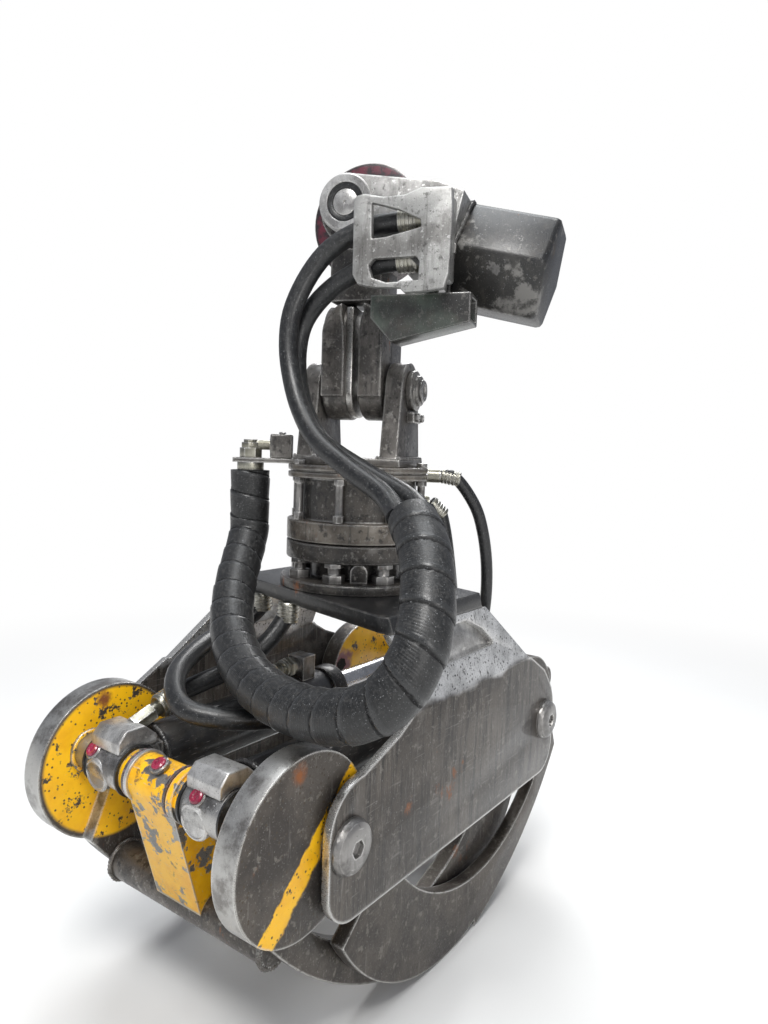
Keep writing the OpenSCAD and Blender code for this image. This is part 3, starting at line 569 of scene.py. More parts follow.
def wet_rubber(name, colour, gloss=0.4, turns=0.0, pale=0.5):
    """Black rubber with fine grain, grey dust and small water drops whose glints are painted pale.
    turns is the width of one turn of a wound strip; its seams get painted shade, its edges a
    painted highlight."""
    r = Recipe(name, colour, gloss)
    r.mottle((0.017, 0.0175, 0.018), 24, 0.4, 0.66, 0.8)
    r.mottle((0.034, 0.0345, 0.035), 210, 0.52, 0.62, 0.75, (3, 1, 1), rough=0.62)
    r.mottle((0.003, 0.003, 0.003), 150, 0.56, 0.66, 0.7, (6, 2, 1), rough=0.3)
    r.lay(r.both(r.facing_up(-0.2, 0.8), r.between(r.noise(160, 6, 0.75), 0.5, 0.62,
                                                   (0, pale))), (0.040, 0.038, 0.036), 0.6)
    if turns:
        uv = r.add("ShaderNodeSeparateXYZ", {0: r.add("ShaderNodeUVMap").outputs[0]}).outputs
        turn = r.maths("FRACT", r.maths("ADD", r.maths("DIVIDE", uv[0], turns), uv[1]))
        # painted light on the wrap: the seam's near black is painted shade in the gap between
        # turns, and the lip's lighter, glossier band is a painted highlight along each turn's edge
        seam = r.maths("MAXIMUM", r.between(turn, 0.085, 0.03), r.between(turn, 0.975, 1.0))
        lip = r.both(r.between(turn, 0.06, 0.12), r.between(turn, 0.30, 0.14))
        r.lay(lip, (0.028, 0.029, 0.030), 0.30)
        r.lay(seam, (0.0015, 0.0015, 0.002), 0.8)
        fine = r.maths("SINE", r.maths("MULTIPLY", turn, 75.0))
        r.lay(r.between(fine, -1.0, 1.0), rise=0.25)
    # water drops, glossy and raised by bump, with their glints painted in as pale grey
    r.specks((0.30, 0.31, 0.32), 0.6, 190, 0.17, 0.06, 1.3, (9, 2, 3))
    r.specks((0.22, 0.23, 0.24), 0.6, 330, 0.22, 0.08, 0.8, (5, 8, 1))
    r.specks((0.20, 0.20, 0.21), 0.5, 520, 0.24, 0.1, 0.5, (2, 5, 6))
    return r.finish(0.35, 0.5, 0.0009, 0.08)


FINISHES = {}


class GRAPPLE_OT_finishes(bpy.types.Operator):
    """Makes the paints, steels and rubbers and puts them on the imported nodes"""
    bl_idname = "grapple.finishes"
    bl_label = "Paint and steel"

    def execute(self, context):
        tone = colours()
        FINISHES.update({
            "black_paint": black_paint("black paint", 0.25),
            "muddy_black": black_paint("muddy black paint", 0.8, 0.8, 0.1),
            "grey_casting": grey_casting("grey casting"),
            "fork_casting": grey_casting("fork casting", (0.27, 0.268, 0.262), (0.07, 0.067, 0.064),
                                         0.9),
            "link_steel": link_steel("link steel"),
            "cheek_steel": link_steel("cheek steel", (0.125, 0.115, 0.105),
                                      (0.035, 0.032, 0.03), 0.3),
            "rubbed_steel": bare_steel("rubbed steel", (0.55, 0.54, 0.52), (0.25, 0.24, 0.22), 0.9,
                                       0.3, 0.15, 0.5),
            "yoke_steel": link_steel("yoke steel", (0.15, 0.14, 0.128), (0.050, 0.045, 0.041), 0.2),
            "side_steel": side_plate_steel(),
            "outer_steel": claw_steel("outer claw steel", 385, 300, (208, 48)),
            "inner_steel": claw_steel("inner claw steel", -385, -385),
            "worn_steel": link_steel("worn steel", (0.11, 0.095, 0.08), (0.04, 0.034, 0.029), 0.45),
            "ring_steel": link_steel("rotator ring steel", (0.165, 0.145, 0.12),
                                     (0.075, 0.062, 0.05), 0.5),
            "cast_dark": link_steel("dark casting", (0.060, 0.053, 0.046), (0.020, 0.019, 0.018),
                                    0.4),
            "barrel_steel": barrel_steel(),
            "yellow_paint": worn_yellow("yellow paint", 0.55),
            "thin_yellow": worn_yellow("thin yellow paint", 0.12),
            "forged_steel": bare_steel("forged steel", (0.58, 0.575, 0.565),
                                       (0.24, 0.235, 0.23), 0.7),
            "pin_steel": bare_steel("pin steel", (0.30, 0.29, 0.28), (0.10, 0.095, 0.09), 0.8, 0.36,
                                    0.3),
            "zinc": bare_steel("zinc plating", tone.zinc, (0.20, 0.19, 0.15), 0.9, 0.32, 0.05, 0.3),
            "green_paint": black_paint("grey green paint", 0.3, 0.8, 0.3, tone.green),
            "striped_red": striped_red(),
            "rod_chrome": bare_steel("rod chrome", (0.48, 0.48, 0.49), (0.33, 0.33, 0.34), 1.0,
                                     0.16, 0.0, 0.2),
            "rubber": wet_rubber("rubber", tone.rubber, 0.34),
            "wrap": wet_rubber("hose wrap", (0.008, 0.0085, 0.009), 0.42, sizes().wrap_pitch, 0.7),
            "grease": red_grease(),
        })
        # the nodes whose finish says more than the record's material slot
        own = {"side_plates": "side_steel", "stator_flange": "ring_steel",
               "stator_ring": "ring_steel", "stator_body": "cast_dark", "rotor": "cast_dark",
               "link_body": "link_steel", "link_cheeks": "link_steel", "yoke": "yoke_steel",
               "hose_guard": "grey_casting", "tip_fork": "fork_casting", "tip_tube": "muddy_black",
               "pin_caps": "yoke_steel", "manifold": "yoke_steel", "hose_bracket": "yoke_steel",
               "brake_drum": "striped_red", "outer_arms": "outer_steel",
               "inner_arms": "inner_steel", "barrels": "barrel_steel", "glands": "cast_dark",
               "outer_crank": "yellow_paint", "inner_crank": "yellow_paint",
               "outer_sleeves": "thin_yellow", "inner_sleeves": "thin_yellow",
               "mounting_bolts": "pin_steel", "tie_bolts": "pin_steel", "port_plug": "cast_dark",
               "rod_end_ports": "pin_steel", "pivot_pins": "pin_steel"}
        for entry in frame["record"]["subparts"]:
            node = frame["nodes"][entry["node"]]
            node.data.materials.clear()
            node.data.materials.append(FINISHES[own.get(entry["node"], entry["material_slot"])])
        return {"FINISHED"}


def clear():
    """Leaves nothing selected."""
    bpy.ops.object.select_all(action="DESELECT")


def pick(piece):
    """Selects the piece alone and makes it the active one."""
    clear()
    piece.select_set(True)
    bpy.context.view_layer.objects.active = piece


def added(name, data):
    """A new piece of the scene with the mesh or curve data."""
    piece = bpy.data.objects.new(name, data)
    bpy.context.scene.collection.objects.link(piece)
    return piece


def merged(piece, distance, flat):
    """Merges a mesh's points that lie closer than distance, and its faces that are flat to
    each other within the angle in degrees."""
    pick(piece)
    bpy.ops.object.mode_set(mode="EDIT")
    bpy.ops.mesh.select_all(action="SELECT")
    bpy.ops.mesh.remove_doubles(threshold=distance)
    bpy.ops.mesh.dissolve_limited(angle_limit=math.radians(flat))
    bpy.ops.object.mode_set(mode="OBJECT")


def bevel(piece, width, segments=2, angle=30, outer="MITER_SHARP"):
    """Rounds the edges that are sharper than the angle in degrees."""
    bpy.ops.object.modifier_add(type="BEVEL")
    edge = piece.modifiers[-1]
    edge.width, edge.segments, edge.miter_outer = width, segments, outer
    edge.limit_method, edge.angle_limit = "ANGLE", math.radians(angle)
    bpy.ops.object.modifier_apply(modifier=edge.name)


def seat(piece, name, body, finish, smooth=35):
    """Freezes a finished piece at the origin and lets it ride on its body."""
    pick(piece)
    bpy.ops.object.transform_apply(location=True, rotation=True, scale=True)
    bpy.ops.object.shade_smooth_by_angle(angle=math.radians(smooth))
    piece.name = piece.data.name = name
    piece.data.materials.clear()
    piece.data.materials.append(FINISHES[finish])
    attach(piece, body)
    return piece


def rounded(node, width):
    """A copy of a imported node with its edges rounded, which stands in for it."""
    source = frame["nodes"][node]
    piece = source.copy()
    piece.data = source.data.copy()
    for key in [k for k in piece.keys() if k.startswith("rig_")]:
        del piece[key]
    piece.parent = None
    bpy.context.scene.collection.objects.link(piece)
    body = source["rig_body"]
    merged(piece, 0.00002, 1.0)
    bevel(piece, width, outer="MITER_ARC")
    bpy.ops.object.shade_smooth_by_angle(angle=math.radians(38))
    piece.name = piece.data.name = node + "_finished"
    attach(piece, body)
    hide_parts(node)
    return piece


# node, edge rounding as a share of the set one
ROUNDED = [
    ("top_plate", 2.2), ("side_plates", 1.2), ("pocket_liners", 1.5), ("outer_arms", 1.4),
    ("inner_arms", 1.4), ("inner_blade", 1.0), ("port_blocks", 3.0), ("rod_eyes", 1.6),
    ("barrels", 1.2), ("glands", 1.0), ("outer_crank", 1.8), ("inner_crank", 1.8),
    ("outer_sleeves", 1.4), ("inner_sleeves", 1.4), ("rod_end_ports", 1.6), ("yoke", 1.6),
    ("link_body", 2.0), ("tip_fork", 2.2), ("tip_tube", 5.0), ("hose_chute", 1.0),
    ("manifold", 1.6), ("hose_bracket", 1.2), ("rotor", 1.4), ("stator_flange", 1.1),
    ("stator_ring", 1.1), ("tie_bolts", 0.6), ("mounting_bolts", 1.0), ("port_plug", 1.4),
    ("guard_fittings", 0.9), ("drop_fittings", 0.8), ("hose_ferrules", 0.7),
    ("pivot_pins", 1.0), ("pin_caps", 1.4), ("upper_pin", 1.0),
]


class GRAPPLE_OT_edges(bpy.types.Operator):
    """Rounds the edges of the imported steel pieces"""
    bl_idname = "grapple.edges"
    bl_label = "Rounded edges"

    def execute(self, context):
        for node, share in ROUNDED:
            rounded(node, sizes().edge * share)
        return {"FINISHED"}


def spaced(points, steps):
    """Points of a smooth curve through the given ones, as the frame's own hoses have it."""
    last = len(points) - 1
    out = []
    for i in range(last):
        a, b, c, d = (points[max(i - 1, 0)], points[i], points[i + 1], points[min(i + 2, last)])
        for j in range(steps):
            t = j / steps
            out.append(0.5 * (2 * b + (c - a) * t + (2 * a - 5 * b + 4 * c - d) * t * t
                              + (3 * b - a - 3 * c + d) * t ** 3))
    return out + [points[last]]


def sweep(name, route, radius, sides, rise=None):
    """A tube along the route, with its length in U and its turn in V. rise(s, v) adds to the
    radius at the distance s along the tube and the turn v."""
    mesh = bpy.data.meshes.new(name)
    work = bmesh.new()
    uv = work.loops.layers.uv.new("along")
    tangents = [(route[min(i + 1, len(route) - 1)] - route[max(i - 1, 0)]).normalized()
                for i in range(len(route))]
    up = tangents[0].orthogonal().normalized()
    rings, along = [], 0.0
    for i, point in enumerate(route):
        if i:
            along += (point - route[i - 1]).length
            up = (tangents[i - 1].rotation_difference(tangents[i]) @ up)
        up = (up - tangents[i] * up.dot(tangents[i])).normalized()
        across = tangents[i].cross(up)
        ring = []
        for j in range(sides):
            turn = 2 * math.pi * j / sides
            reach = radius + (rise(along, j / sides) if rise else 0.0)
            ring.append(work.verts.new(point + reach * (math.cos(turn) * up
                                                        + math.sin(turn) * across)))
        rings.append((ring, along))
    for (low, s0), (high, s1) in zip(rings, rings[1:]):
        for j in range(sides):
            k = (j + 1) % sides
            face = work.faces.new((low[j], low[k], high[k], high[j]))
            face.smooth = True
            v0, v1 = j / sides, (j + 1) / sides
            for loop, spot in zip(face.loops, ((s0, v0), (s0, v1), (s1, v1), (s1, v0))):
                loop[uv].uv = spot
    work.faces.new(list(reversed(rings[0][0])))
    work.faces.new(rings[-1][0])
    work.to_mesh(mesh)
    work.free()
    return added(name, mesh)


def smooth_route(axes, points, steps):
    """A hose's middle line in the frame, from its points in the axes of grapple or link."""
    return spaced(spaced([axes(*p) for p in points], steps), 4)


def finer(route, times):
    """The same route with its stretches divided."""
    inner = [a.lerp(b, j / times) for a, b in zip(route, route[1:]) for j in range(times)]
    return inner + [route[-1]]


# the hoses' routes, the same points as in the frame's source, in millimetres
MAIN_ROUTES = [
    [(-129, -135.3, -44), (-130, -60, -50), (-138, 20, -92), (-154, 70, -190), (-176, 56, -300),
     (-222, -12, -400), (-276, -136, -472), (-322.3, -177, -503)],
    [(-129, -135, -106), (-130, -66, -112), (-127, 6, -142), (-118, 66, -204), (-138, 62, -304),
     (-184, -6, -403), (-246, -164, -476), (-301.3, -211, -503)],
]
WRAP_ROUTE = [
    (-129.9, 149.4, 493.3), (-129.9, 149.4, 430), (-133, 147.5, 376), (-195, 108, 312),
    (-245, 66, 264),
    (-292, 6, 222), (-335, -78, 196), (-368, -180, 190), (-386, -280, 204), (-382, -352, 240),
    (-356, -378, 300), (-320, -364, 360), (-278, -328, 412), (-240, -284, 442)]
THIN_ROUTE = [
    (79, -133, 494.5), (92, -156, 490), (126, -184, 430), (150, -194, 340), (165, -188, 250),
    (172, -172, 190), (166, -150, 170), (152, -134, 190), (138, -130, 270), (124, -124, 360),
    (112, -114, 424), (97, -101, 442)]
CYLINDER_ROUTES = [
    ([(-96, 148, 261.6), (-96, 148, 238), (-125, 160, 212), (-178, 152, 202), (-250, 128, 196),
      (-345, 80, 178), (-392, 15, 153), (-372, -38, 140), (-325, -75, 134), (-260, -104, 131),
      (-170, -112, 126), (-57.8, -110, 117)], 1),
    ([(-348.6, 110, 120.2), (-312, 109, 132), (-262, 99, 144), (-212, 82, 160), (-164, 60, 198),
      (-132, 52, 236), (-126, 50, 259.8)], 2),
]
MAIN_RADIUS, WRAP_RADIUS, THIN_RADIUS, CYLINDER_RADIUS = 0.016, 0.036, 0.011, 0.016
LINK_MIDDLE = -255                             # where the main hoses are parted, in the link's Z


def laid(name, route, radius, sides, smooth, finish, rise=None):
    """A tube of rubber along the route, shaded smooth up to the angle in degrees."""
    piece = sweep(name, route, radius, sides, rise)
    pick(piece)
    bpy.ops.object.shade_smooth_by_angle(angle=math.radians(smooth))
    piece.data.materials.append(FINISHES[finish])
    return piece


def hanging(node):
    """Hides the imported node that the hose stands in for."""
    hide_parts(node)


def hose(name, route, radius, node, bodies, start=None):
    """One hose along the points of its route. It rides on the first of its bodies, or, given a
    start, is frozen where it lies and rides on none."""
    piece = laid(name, route, radius, sizes().hose_sides, 50, "rubber")
    if start is None:
        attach(piece, bodies[0])
    else:
        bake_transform(piece)
    hanging(node)


class GRAPPLE_OT_hoses(bpy.types.Operator):
    """Lays the hoses and the spiral wrap on their routes"""
    bl_idname = "grapple.hoses"
    bl_label = "Hoses and wrap"

    def execute(self, context):
        for number, points in enumerate(MAIN_ROUTES, 1):
            route = smooth_route(link, points, 2)
            middle = link(0, 0, LINK_MIDDLE).z
            half = min(range(len(route)), key=lambda i: abs(route[i].z - middle))
            hose(f"main_hose_{number}", route[:half + 1], MAIN_RADIUS, "main_hoses",
                 ("boom_tip", "link"), route[2])
            hose(f"main_hose_{number}_low", route[half:], MAIN_RADIUS, "main_hoses",
                 ("link", "stator"), route[half + 4])
        hose("thin_hose_loop", smooth_route(grapple, THIN_ROUTE, 2), THIN_RADIUS, "thin_hose",
             ("stator",))
        for number, (points, steps) in enumerate(CYLINDER_ROUTES, 1):
            hose(f"cylinder_hose_{number}", smooth_route(grapple, points, steps),
                 CYLINDER_RADIUS, "cylinder_hoses", ("grapple_frame",))
        self.wrap()
        return {"FINISHED"}

    def wrap(self):
        """The strip wound round the two main hoses: each turn ends on the one before."""
        pitch, step = sizes().wrap_pitch, sizes().wrap_step
        route = smooth_route(grapple, WRAP_ROUTE, 2)

        # shares of a turn: the seam's bottom, the strip's edge, and how much the strip slopes
        seam, edge, slope = 0.03, 0.09, 0.45

        def rise(s, v):
            turn = (s / pitch + v) % 1.0
            if turn < seam:
                return -step * (turn / seam)
            if turn < edge:
                return -step * (1 - (turn - seam) / (edge - seam))
            return -step * slope * (turn - edge)

        piece = laid("hose_wrap_turns", finer(route, 4), WRAP_RADIUS, 40, 40, "wrap", rise)
        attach(piece, "stator")
        hanging("hose_wrap")


def placed(piece, foot, direction):
    """Turns a piece made along Z to the direction and puts it at the foot."""
    piece.matrix_world = (Matrix.Translation(foot)
                          @ Vector(direction).to_track_quat("Z", "Y").to_matrix().to_4x4())
    bpy.context.view_layer.update()


def turned(name, profile, foot, direction, body, finish, steps=28):
    """A piece turned on a lathe. The profile is a list of (distance along the axis, radius)."""
    mesh = bpy.data.meshes.new(name)
    points = [(radius / 1000, 0, along / 1000) for along, radius in profile]
    mesh.from_pydata(points, [(i, i + 1) for i in range(len(points) - 1)], [])
    piece = added(name, mesh)
    pick(piece)
    bpy.ops.object.mode_set(mode="EDIT")
    bpy.ops.mesh.select_all(action="SELECT")
    bpy.ops.mesh.spin(steps=steps, angle=2 * math.pi, center=(0, 0, 0), axis=(0, 0, 1))
    bpy.ops.mesh.select_all(action="SELECT")
    bpy.ops.mesh.remove_doubles(threshold=0.00005)
    bpy.ops.mesh.normals_make_consistent(inside=False)
    bpy.ops.object.mode_set(mode="OBJECT")
    placed(piece, foot, direction)
    return seat(piece, name, body, finish)


# a hexagon's width across its flats in millimetres over this is its corner radius in metres
HEX_CORNER = 1732.1
NUT_CORNER = 0.9 / 1000                        # rounding of a nut's edges


def nut(name, across, height, foot, direction, body, finish, bore=0.0):
    """A hexagon with rounded corners and, with a bore, a socket sunk in its top."""
    clear()
    bpy.ops.mesh.primitive_cylinder_add(vertices=6, radius=across / HEX_CORNER, depth=height / 1000,
                                        location=(0, 0, height / 2000))
    piece = bpy.context.active_object
    bpy.ops.object.transform_apply(location=True)
    if bore:
        bpy.ops.object.mode_set(mode="EDIT")
        bpy.ops.mesh.select_all(action="DESELECT")
        bpy.ops.object.mode_set(mode="OBJECT")
        top = max(piece.data.polygons, key=lambda face: face.center.z)
        top.select = True
        bpy.ops.object.mode_set(mode="EDIT")
        bpy.ops.mesh.inset(thickness=(across / 2 - bore) / 1000)
        bpy.ops.mesh.extrude_region_move(TRANSFORM_OT_translate={"value": (0, 0, -height / 2000)})
        bpy.ops.object.mode_set(mode="OBJECT")
    bevel(piece, NUT_CORNER)
    placed(piece, foot, direction)
    return seat(piece, name, body, finish)


def block(name, size, middle, turn, body, finish, corner):
    """A box with rounded edges, turned about Z."""
    clear()
    bpy.ops.mesh.primitive_cube_add(size=1)
    piece = bpy.context.active_object
    piece.scale = [v / 1000 for v in size]
    bpy.ops.object.transform_apply(scale=True)
    bevel(piece, corner / 1000)
    piece.location, piece.rotation_euler = middle, (0, 0, turn)
    return seat(piece, name, body, finish)


def arc(x, y, radius, start, end, steps=16):
    """Points of an arc, with its angles in degrees."""
    turns = [math.radians(start + (end - start) * i / steps) for i in range(steps + 1)]
    return [(x + radius * math.cos(turn), y + radius * math.sin(turn)) for turn in turns]


def plate(name, outline, holes, thick, middle, right, up, body, finish, corner):
    """A flat plate with holes, whose outline lies along the directions right and up."""
    curve = bpy.data.curves.new(name, "CURVE")
    curve.dimensions, curve.fill_mode, curve.extrude = "2D", "BOTH", thick / 2000
    for loop in (outline, *holes):
        spline = curve.splines.new("POLY")
        spline.points.add(len(loop) - 1)
        for point, (x, y) in zip(spline.points, loop):
            point.co = (x / 1000, y / 1000, 0, 1)
        spline.use_cyclic_u = True
    pick(added(name, curve))
    bpy.ops.object.convert(target="MESH")
    piece = bpy.context.active_object
    merged(piece, 0.00005, 0.5)
    bevel(piece, corner / 1000, 3, 50)
    right, up = Vector(right).normalized(), Vector(up).normalized()
    turn = Matrix((right, up, right.cross(up))).transposed().to_4x4()
    piece.matrix_world = Matrix.Translation(middle) @ turn
    bpy.context.view_layer.update()
    return seat(piece, name, body, finish)


BEAD_STEP = 0.0022                             # distance between a weld bead's rings


def bead(name, points, body, finish, closed=False):
    """A weld bead along the points, with short ripples and slow swells."""
    corners = [Vector(p) for p in points]
    if closed:
        corners.append(corners[0])
    route, radius = [], sizes().weld
    for a, b in zip(corners, corners[1:]):
        steps = max(1, round((b - a).length / BEAD_STEP))
        route += [a.lerp(b, j / steps) for j in range(steps)]
    piece = sweep(name, route + [corners[-1]], radius, 8,
                  lambda s, v: radius * (0.16 * math.sin(s * 1150) + 0.10 * math.sin(s * 310 + 1)))
    return seat(piece, name, body, finish, 60)


def ring_route(centre, radius, across, steps=36):
    """Points round an upright circle that lies along the direction across."""
    turns = [2 * math.pi * i / steps for i in range(steps)]
    return [centre + radius * (math.cos(a) * Vector(across) + math.sin(a) * UP) for a in turns]


def crimp(name, hose_radius, foot, direction, body):
    """The crimped collar that holds a hose on its fitting."""
    r, long = hose_radius * 1000, 34
    profile = [(-2, r * 0.6), (-2, r * 1.12), (2, r * 1.26)]
    for i in range(4):
        s = 4 + i * (long - 8) / 4
        profile += [(s, r * 1.26), (s + 1, r * 1.17), (s + 2.4, r * 1.17), (s + 3.4, r * 1.26)]
    profile += [(long - 2, r * 1.24), (long, r * 1.04), (long, r * 0.9)]
    return turned(name, profile, foot, direction, body, "zinc")


# the hose guard as cast, in the link's Y and Z: its outline, and the two openings in it
GUARD_OUTLINE = [
    (-38, -18), (-44, -12), (-56, -10), (-88, -17), (-122, -16), (-147, -7), (-197, -9),
    (-199, -60), (-196, -138), (-189, -160), (-157, -164), (-126, -165), (-118, -157),
    (-72, -155), (-48, -149), (-39, -134)]
GUARD_HOLES = [[(-68, -24), (-114, -38), (-148, -54), (-150, -66), (-94, -78), (-70, -80)],
               [(-66, -120), (-74, -111), (-144, -110), (-149, -118), (-148, -146), (-96, -148),
                (-72, -140)]]


class GRAPPLE_OT_castings(bpy.types.Operator):
    """Builds the hose guard, the link's round cheeks and the brake drum as they were cast"""
    bl_idname = "grapple.castings"
    bl_label = "Castings"

    def execute(self, context):
        guard = plate("hose_guard_plate", GUARD_OUTLINE, GUARD_HOLES, 14, link(-159, 0, 0), SIDE,
                      UP, "boom_tip", "grey_casting", 4.0)
        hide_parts("hose_guard")
        for name, size, spot in (("hose_guard_side", (50, 16, 128), (-129, -183, -78)),
                                 ("hose_guard_top", (50, 62, 12), (-129, -160, -15))):
            lip = block(name, size, link(*spot), LINK_TURN, "boom_tip", "grey_casting", 4)
            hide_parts("hose_guard")
        round_top = (arc(0, -204, 54, 0, 180, 28) + arc(0, -303, 54, 180, 360, 28))
        for hand, label in HANDS:
            cheek = plate(f"link_cheek_{label}", round_top, [], 45, link(0, hand * 34.5, 0), ACROSS,
                          UP, "link", "cheek_steel", 5.0)
            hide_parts("link_cheeks")
            # the cheek's round shoulder, which stands out in front of the body's foot
            leg = [(hand * y, z) for y, z in arc(0, -208, 57, 0, 70, 14)]
            leg += [(hand * y, z) for y, z in ((20, -170), (15, -200), (13, -240), (13, -318),
                                               (57, -318))]
            leg = leg if hand > 0 else leg[::-1]
            arch = plate(f"link_arch_{label}", leg, [], 116, link(0, 0, 0), SIDE, UP, "link",
                         "cheek_steel", 4.0)
            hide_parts("link_cheeks")
        outline = arc(0, -303, 50, 180, 360, 28) + [(50, -160), (-50, -160)]
        web = plate("link_cheek_web", outline, [], 14, link(0, 7, 0), ACROSS, UP, "link",
                    "rubbed_steel", 3.0)
        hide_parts("link_cheeks")
        profile = [(4, 58), (4, 98)]
        for i in range(7):
            profile += [(5.5 + BAND * i, 103), (10.5 + BAND * i, 103), (12.0 + BAND * i, 99.5)]
        profile += [(67, 98), (67, 58)]
        drum = turned("brake_drum_band", profile, link(0, 0, 0), ACROSS, "link", "striped_red", 72)
        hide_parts("brake_drum")
        return {"FINISHED"}


class GRAPPLE_OT_fittings(bpy.types.Operator):
    """Adds hose collars, nuts, grease caps, pin rings and their locks"""
    bl_idname = "grapple.fittings"
    bl_label = "Small fittings"

    def execute(self, context):
        self.hose_ends()
        self.grease_caps()
        self.crank_line()
        self.pins()
        self.screws()
        return {"FINISHED"}

    def hose_ends(self):
        # name, hose radius, end of the hose, a point further along it, body
        for name, radius, end, next_point, body in [
                ("main_collar_1", MAIN_RADIUS, link(-129, -137, -44), link(-129.3, -110, -45),
                 "boom_tip"),
                ("main_collar_2", MAIN_RADIUS, link(-129, -137, -106), link(-129.3, -110, -107),
                 "boom_tip"),
                ("thin_collar_1", THIN_RADIUS, grapple(79, -133, 494.5), grapple(92, -156, 490),
                 "stator"),
                ("thin_collar_2", THIN_RADIUS, grapple(97, -101, 442), grapple(112, -114, 424),
                 "stator"),
                ("frame_collar_1", CYLINDER_RADIUS, grapple(-96, 148, 262), grapple(-96, 148, 238),
                 "grapple_frame"),
                ("frame_collar_2", CYLINDER_RADIUS, grapple(-126, 50, 260), grapple(-128, 50, 242),
                 "grapple_frame"),
                ("rod_side_collar", CYLINDER_RADIUS, grapple(-57, -BARREL_Y, PORT_Z),
                 grapple(-80, -110.2, 119), "barrels"),
                ("eye_side_collar", CYLINDER_RADIUS, grapple(-356, 110, 118),
                 grapple(-330, 109.6, 127), "barrels")]:
            crimp(name, radius, end, next_point - end, body)
        for name, foot, direction in [
                ("drop_swivel_nut", (-107, 123, 540), (0.656, -0.755, 0)),
                ("drop_lock_nut", (-129.9, 149.4, 533), (0, 0, 1))]:
            nut(name, 30, 11, grapple(*foot), direction, "stator", "zinc")
        nut("rod_side_swivel", 34, 12, grapple(-54, -BARREL_Y, PORT_Z), (1, 0, 0), "barrels",
            "zinc")

    def grease_caps(self):
        # place on the crank line and the way each one points
        for number, (foot, direction) in enumerate([
                ((-453, 138, 70), (-0.78, 0, 0.62)), ((-443, -6, 84), (-0.45, 0, 0.89)),
                ((-453, -100, 70), (-0.78, 0, 0.62))], 1):
            turned(f"grease_seat_{number}", [(-4, 14), (1, 14), (2.4, 12.4), (2.4, 10)],
                   grapple(*foot), direction, "inner_claw", "pin_steel", 24)
            turned(f"grease_cap_{number}",
                   [(2, 11), (4.5, 10.5), (6, 8.5), (5.2, 5.6), (3.4, 4.2), (3.4, 0)],
                   grapple(*foot), direction, "inner_claw", "grease", 20)

    def crank_line(self):
        # the forged eyes' round faces, the seams at the middle boss and the narrow yellow ring
        for number, y in enumerate((124, -98), 1):
            turned(f"eye_face_{number}",
                   [(-22, 27), (0, 27), (2.4, 25), (2.8, 22.5), (1.2, 21), (1.2, 0)],
                   grapple(-457, y, 36), (-0.94, 0, -0.12), "barrels", "forged_steel", 40)
        for name, y, long, radius, finish in (
                ("boss_seam_far", 52, 5, 37.5, "striped_red"),
                ("boss_ring_far", 44, 7, 38.2, "forged_steel"),
                ("boss_seam_near", -41, 5, 37.5, "striped_red"),
                ("boss_ring_near", -58, 13, 38.6, "yellow_paint")):
            turned(name, [(0, 30), (0, radius - 1), (1, radius), (long - 1, radius),
                          (long, radius - 1), (long, 30)], grapple(-CRANK_X, y, CRANK_Z), (0, 1, 0),
                   "inner_claw", finish, 48)
        # the stepped fitting on the far cylinder's rod side
        turned("far_port_fitting", [(0, 17), (9, 17), (10, 14), (15, 14), (16, 17.5), (26, 17.5),
                                    (27, 13), (36, 13), (37, 15), (50, 15), (51, 11), (51, 0)],
               grapple(-50, BARREL_Y, PORT_Z), (-1, 0, 0), "barrels", "zinc", 32)
        nut("far_port_swivel", 36, 12, grapple(-58, BARREL_Y, PORT_Z), (-1, 0, 0), "barrels",
            "zinc")

    def pins(self):
        for hand, label in HANDS:
            # the lower pin: a stepped ring with a rusty centre hole, and its lock
            turned(f"lower_pin_ring_{label}",
                   [(0, 20), (4, 20), (6, 18), (6, 12), (3, 11), (3, 0)],
                   yoke(0, hand * 115, LOWER_PIN), SIDE * hand, "stator", "pin_steel")
            block(f"pin_lock_{label}", (46, 15, 19), yoke(0, hand * 102.5, 597), LINK_TURN,
                  "stator", "yoke_steel", 2.5)
            for x in (-13, 13):
                nut(f"pin_lock_screw_{label}_{'left' if x < 0 else 'right'}", 13, 7,
                    yoke(x, hand * 110, 597), SIDE * hand, "stator", "pin_steel", 3.4)
            # the upper pin: its end, a pale wear ring on the fork and a dark one inside it
            turned(f"upper_pin_end_{label}",
                   [(-2, 21.5), (2, 21.5), (3, 20), (3, 3), (0, 2.4), (0, 0)],
                   boom(hand * 105, 0, 0), ACROSS * hand, "boom_tip", "forged_steel", 32)
            turned(f"upper_pin_washer_{label}",
                   [(-3, 32), (3.5, 32), (4.5, 33), (4.5, 44), (3, 46), (-3, 46)],
                   boom(hand * 105, 0, 0), ACROSS * hand, "boom_tip", "forged_steel", 40)
            turned(f"upper_pin_seal_{label}", [(-3, 22.5), (2, 22.5), (3, 24), (3, 31), (-3, 31.5)],
                   boom(hand * 105, 0, 0), ACROSS * hand, "boom_tip", "rubber", 40)

    def screws(self):
        nut("fork_screw", 24, 9, link(-104, -181, -86), -ACROSS, "boom_tip", "pin_steel", 5.5)
        for i, (x, y) in enumerate(arc(0, 0, 119, 22.5, 337.5, 7)):
            at = Matrix.Rotation(-LINK_TURN, 2) @ Vector((x, y))
            # the yoke's foot leaves no room for some of the flange's eight bolts
            if abs(at.x) > 84 or abs(at.y) > 112:
                nut(f"flange_bolt_{i + 1}", 19, 9, grapple(x, y, 507.5), (0, 0, 1), "stator",
                    "pin_steel", 4.5)
        for x in (-10, 10):
            spot = Matrix.Rotation(math.radians(131), 2) @ Vector((141, x))
            nut(f"manifold_screw_{'left' if x < 0 else 'right'}", 11, 4,
                grapple(spot.x, spot.y, 560), (0, 0, 1), "stator", "pin_steel", 2.8)


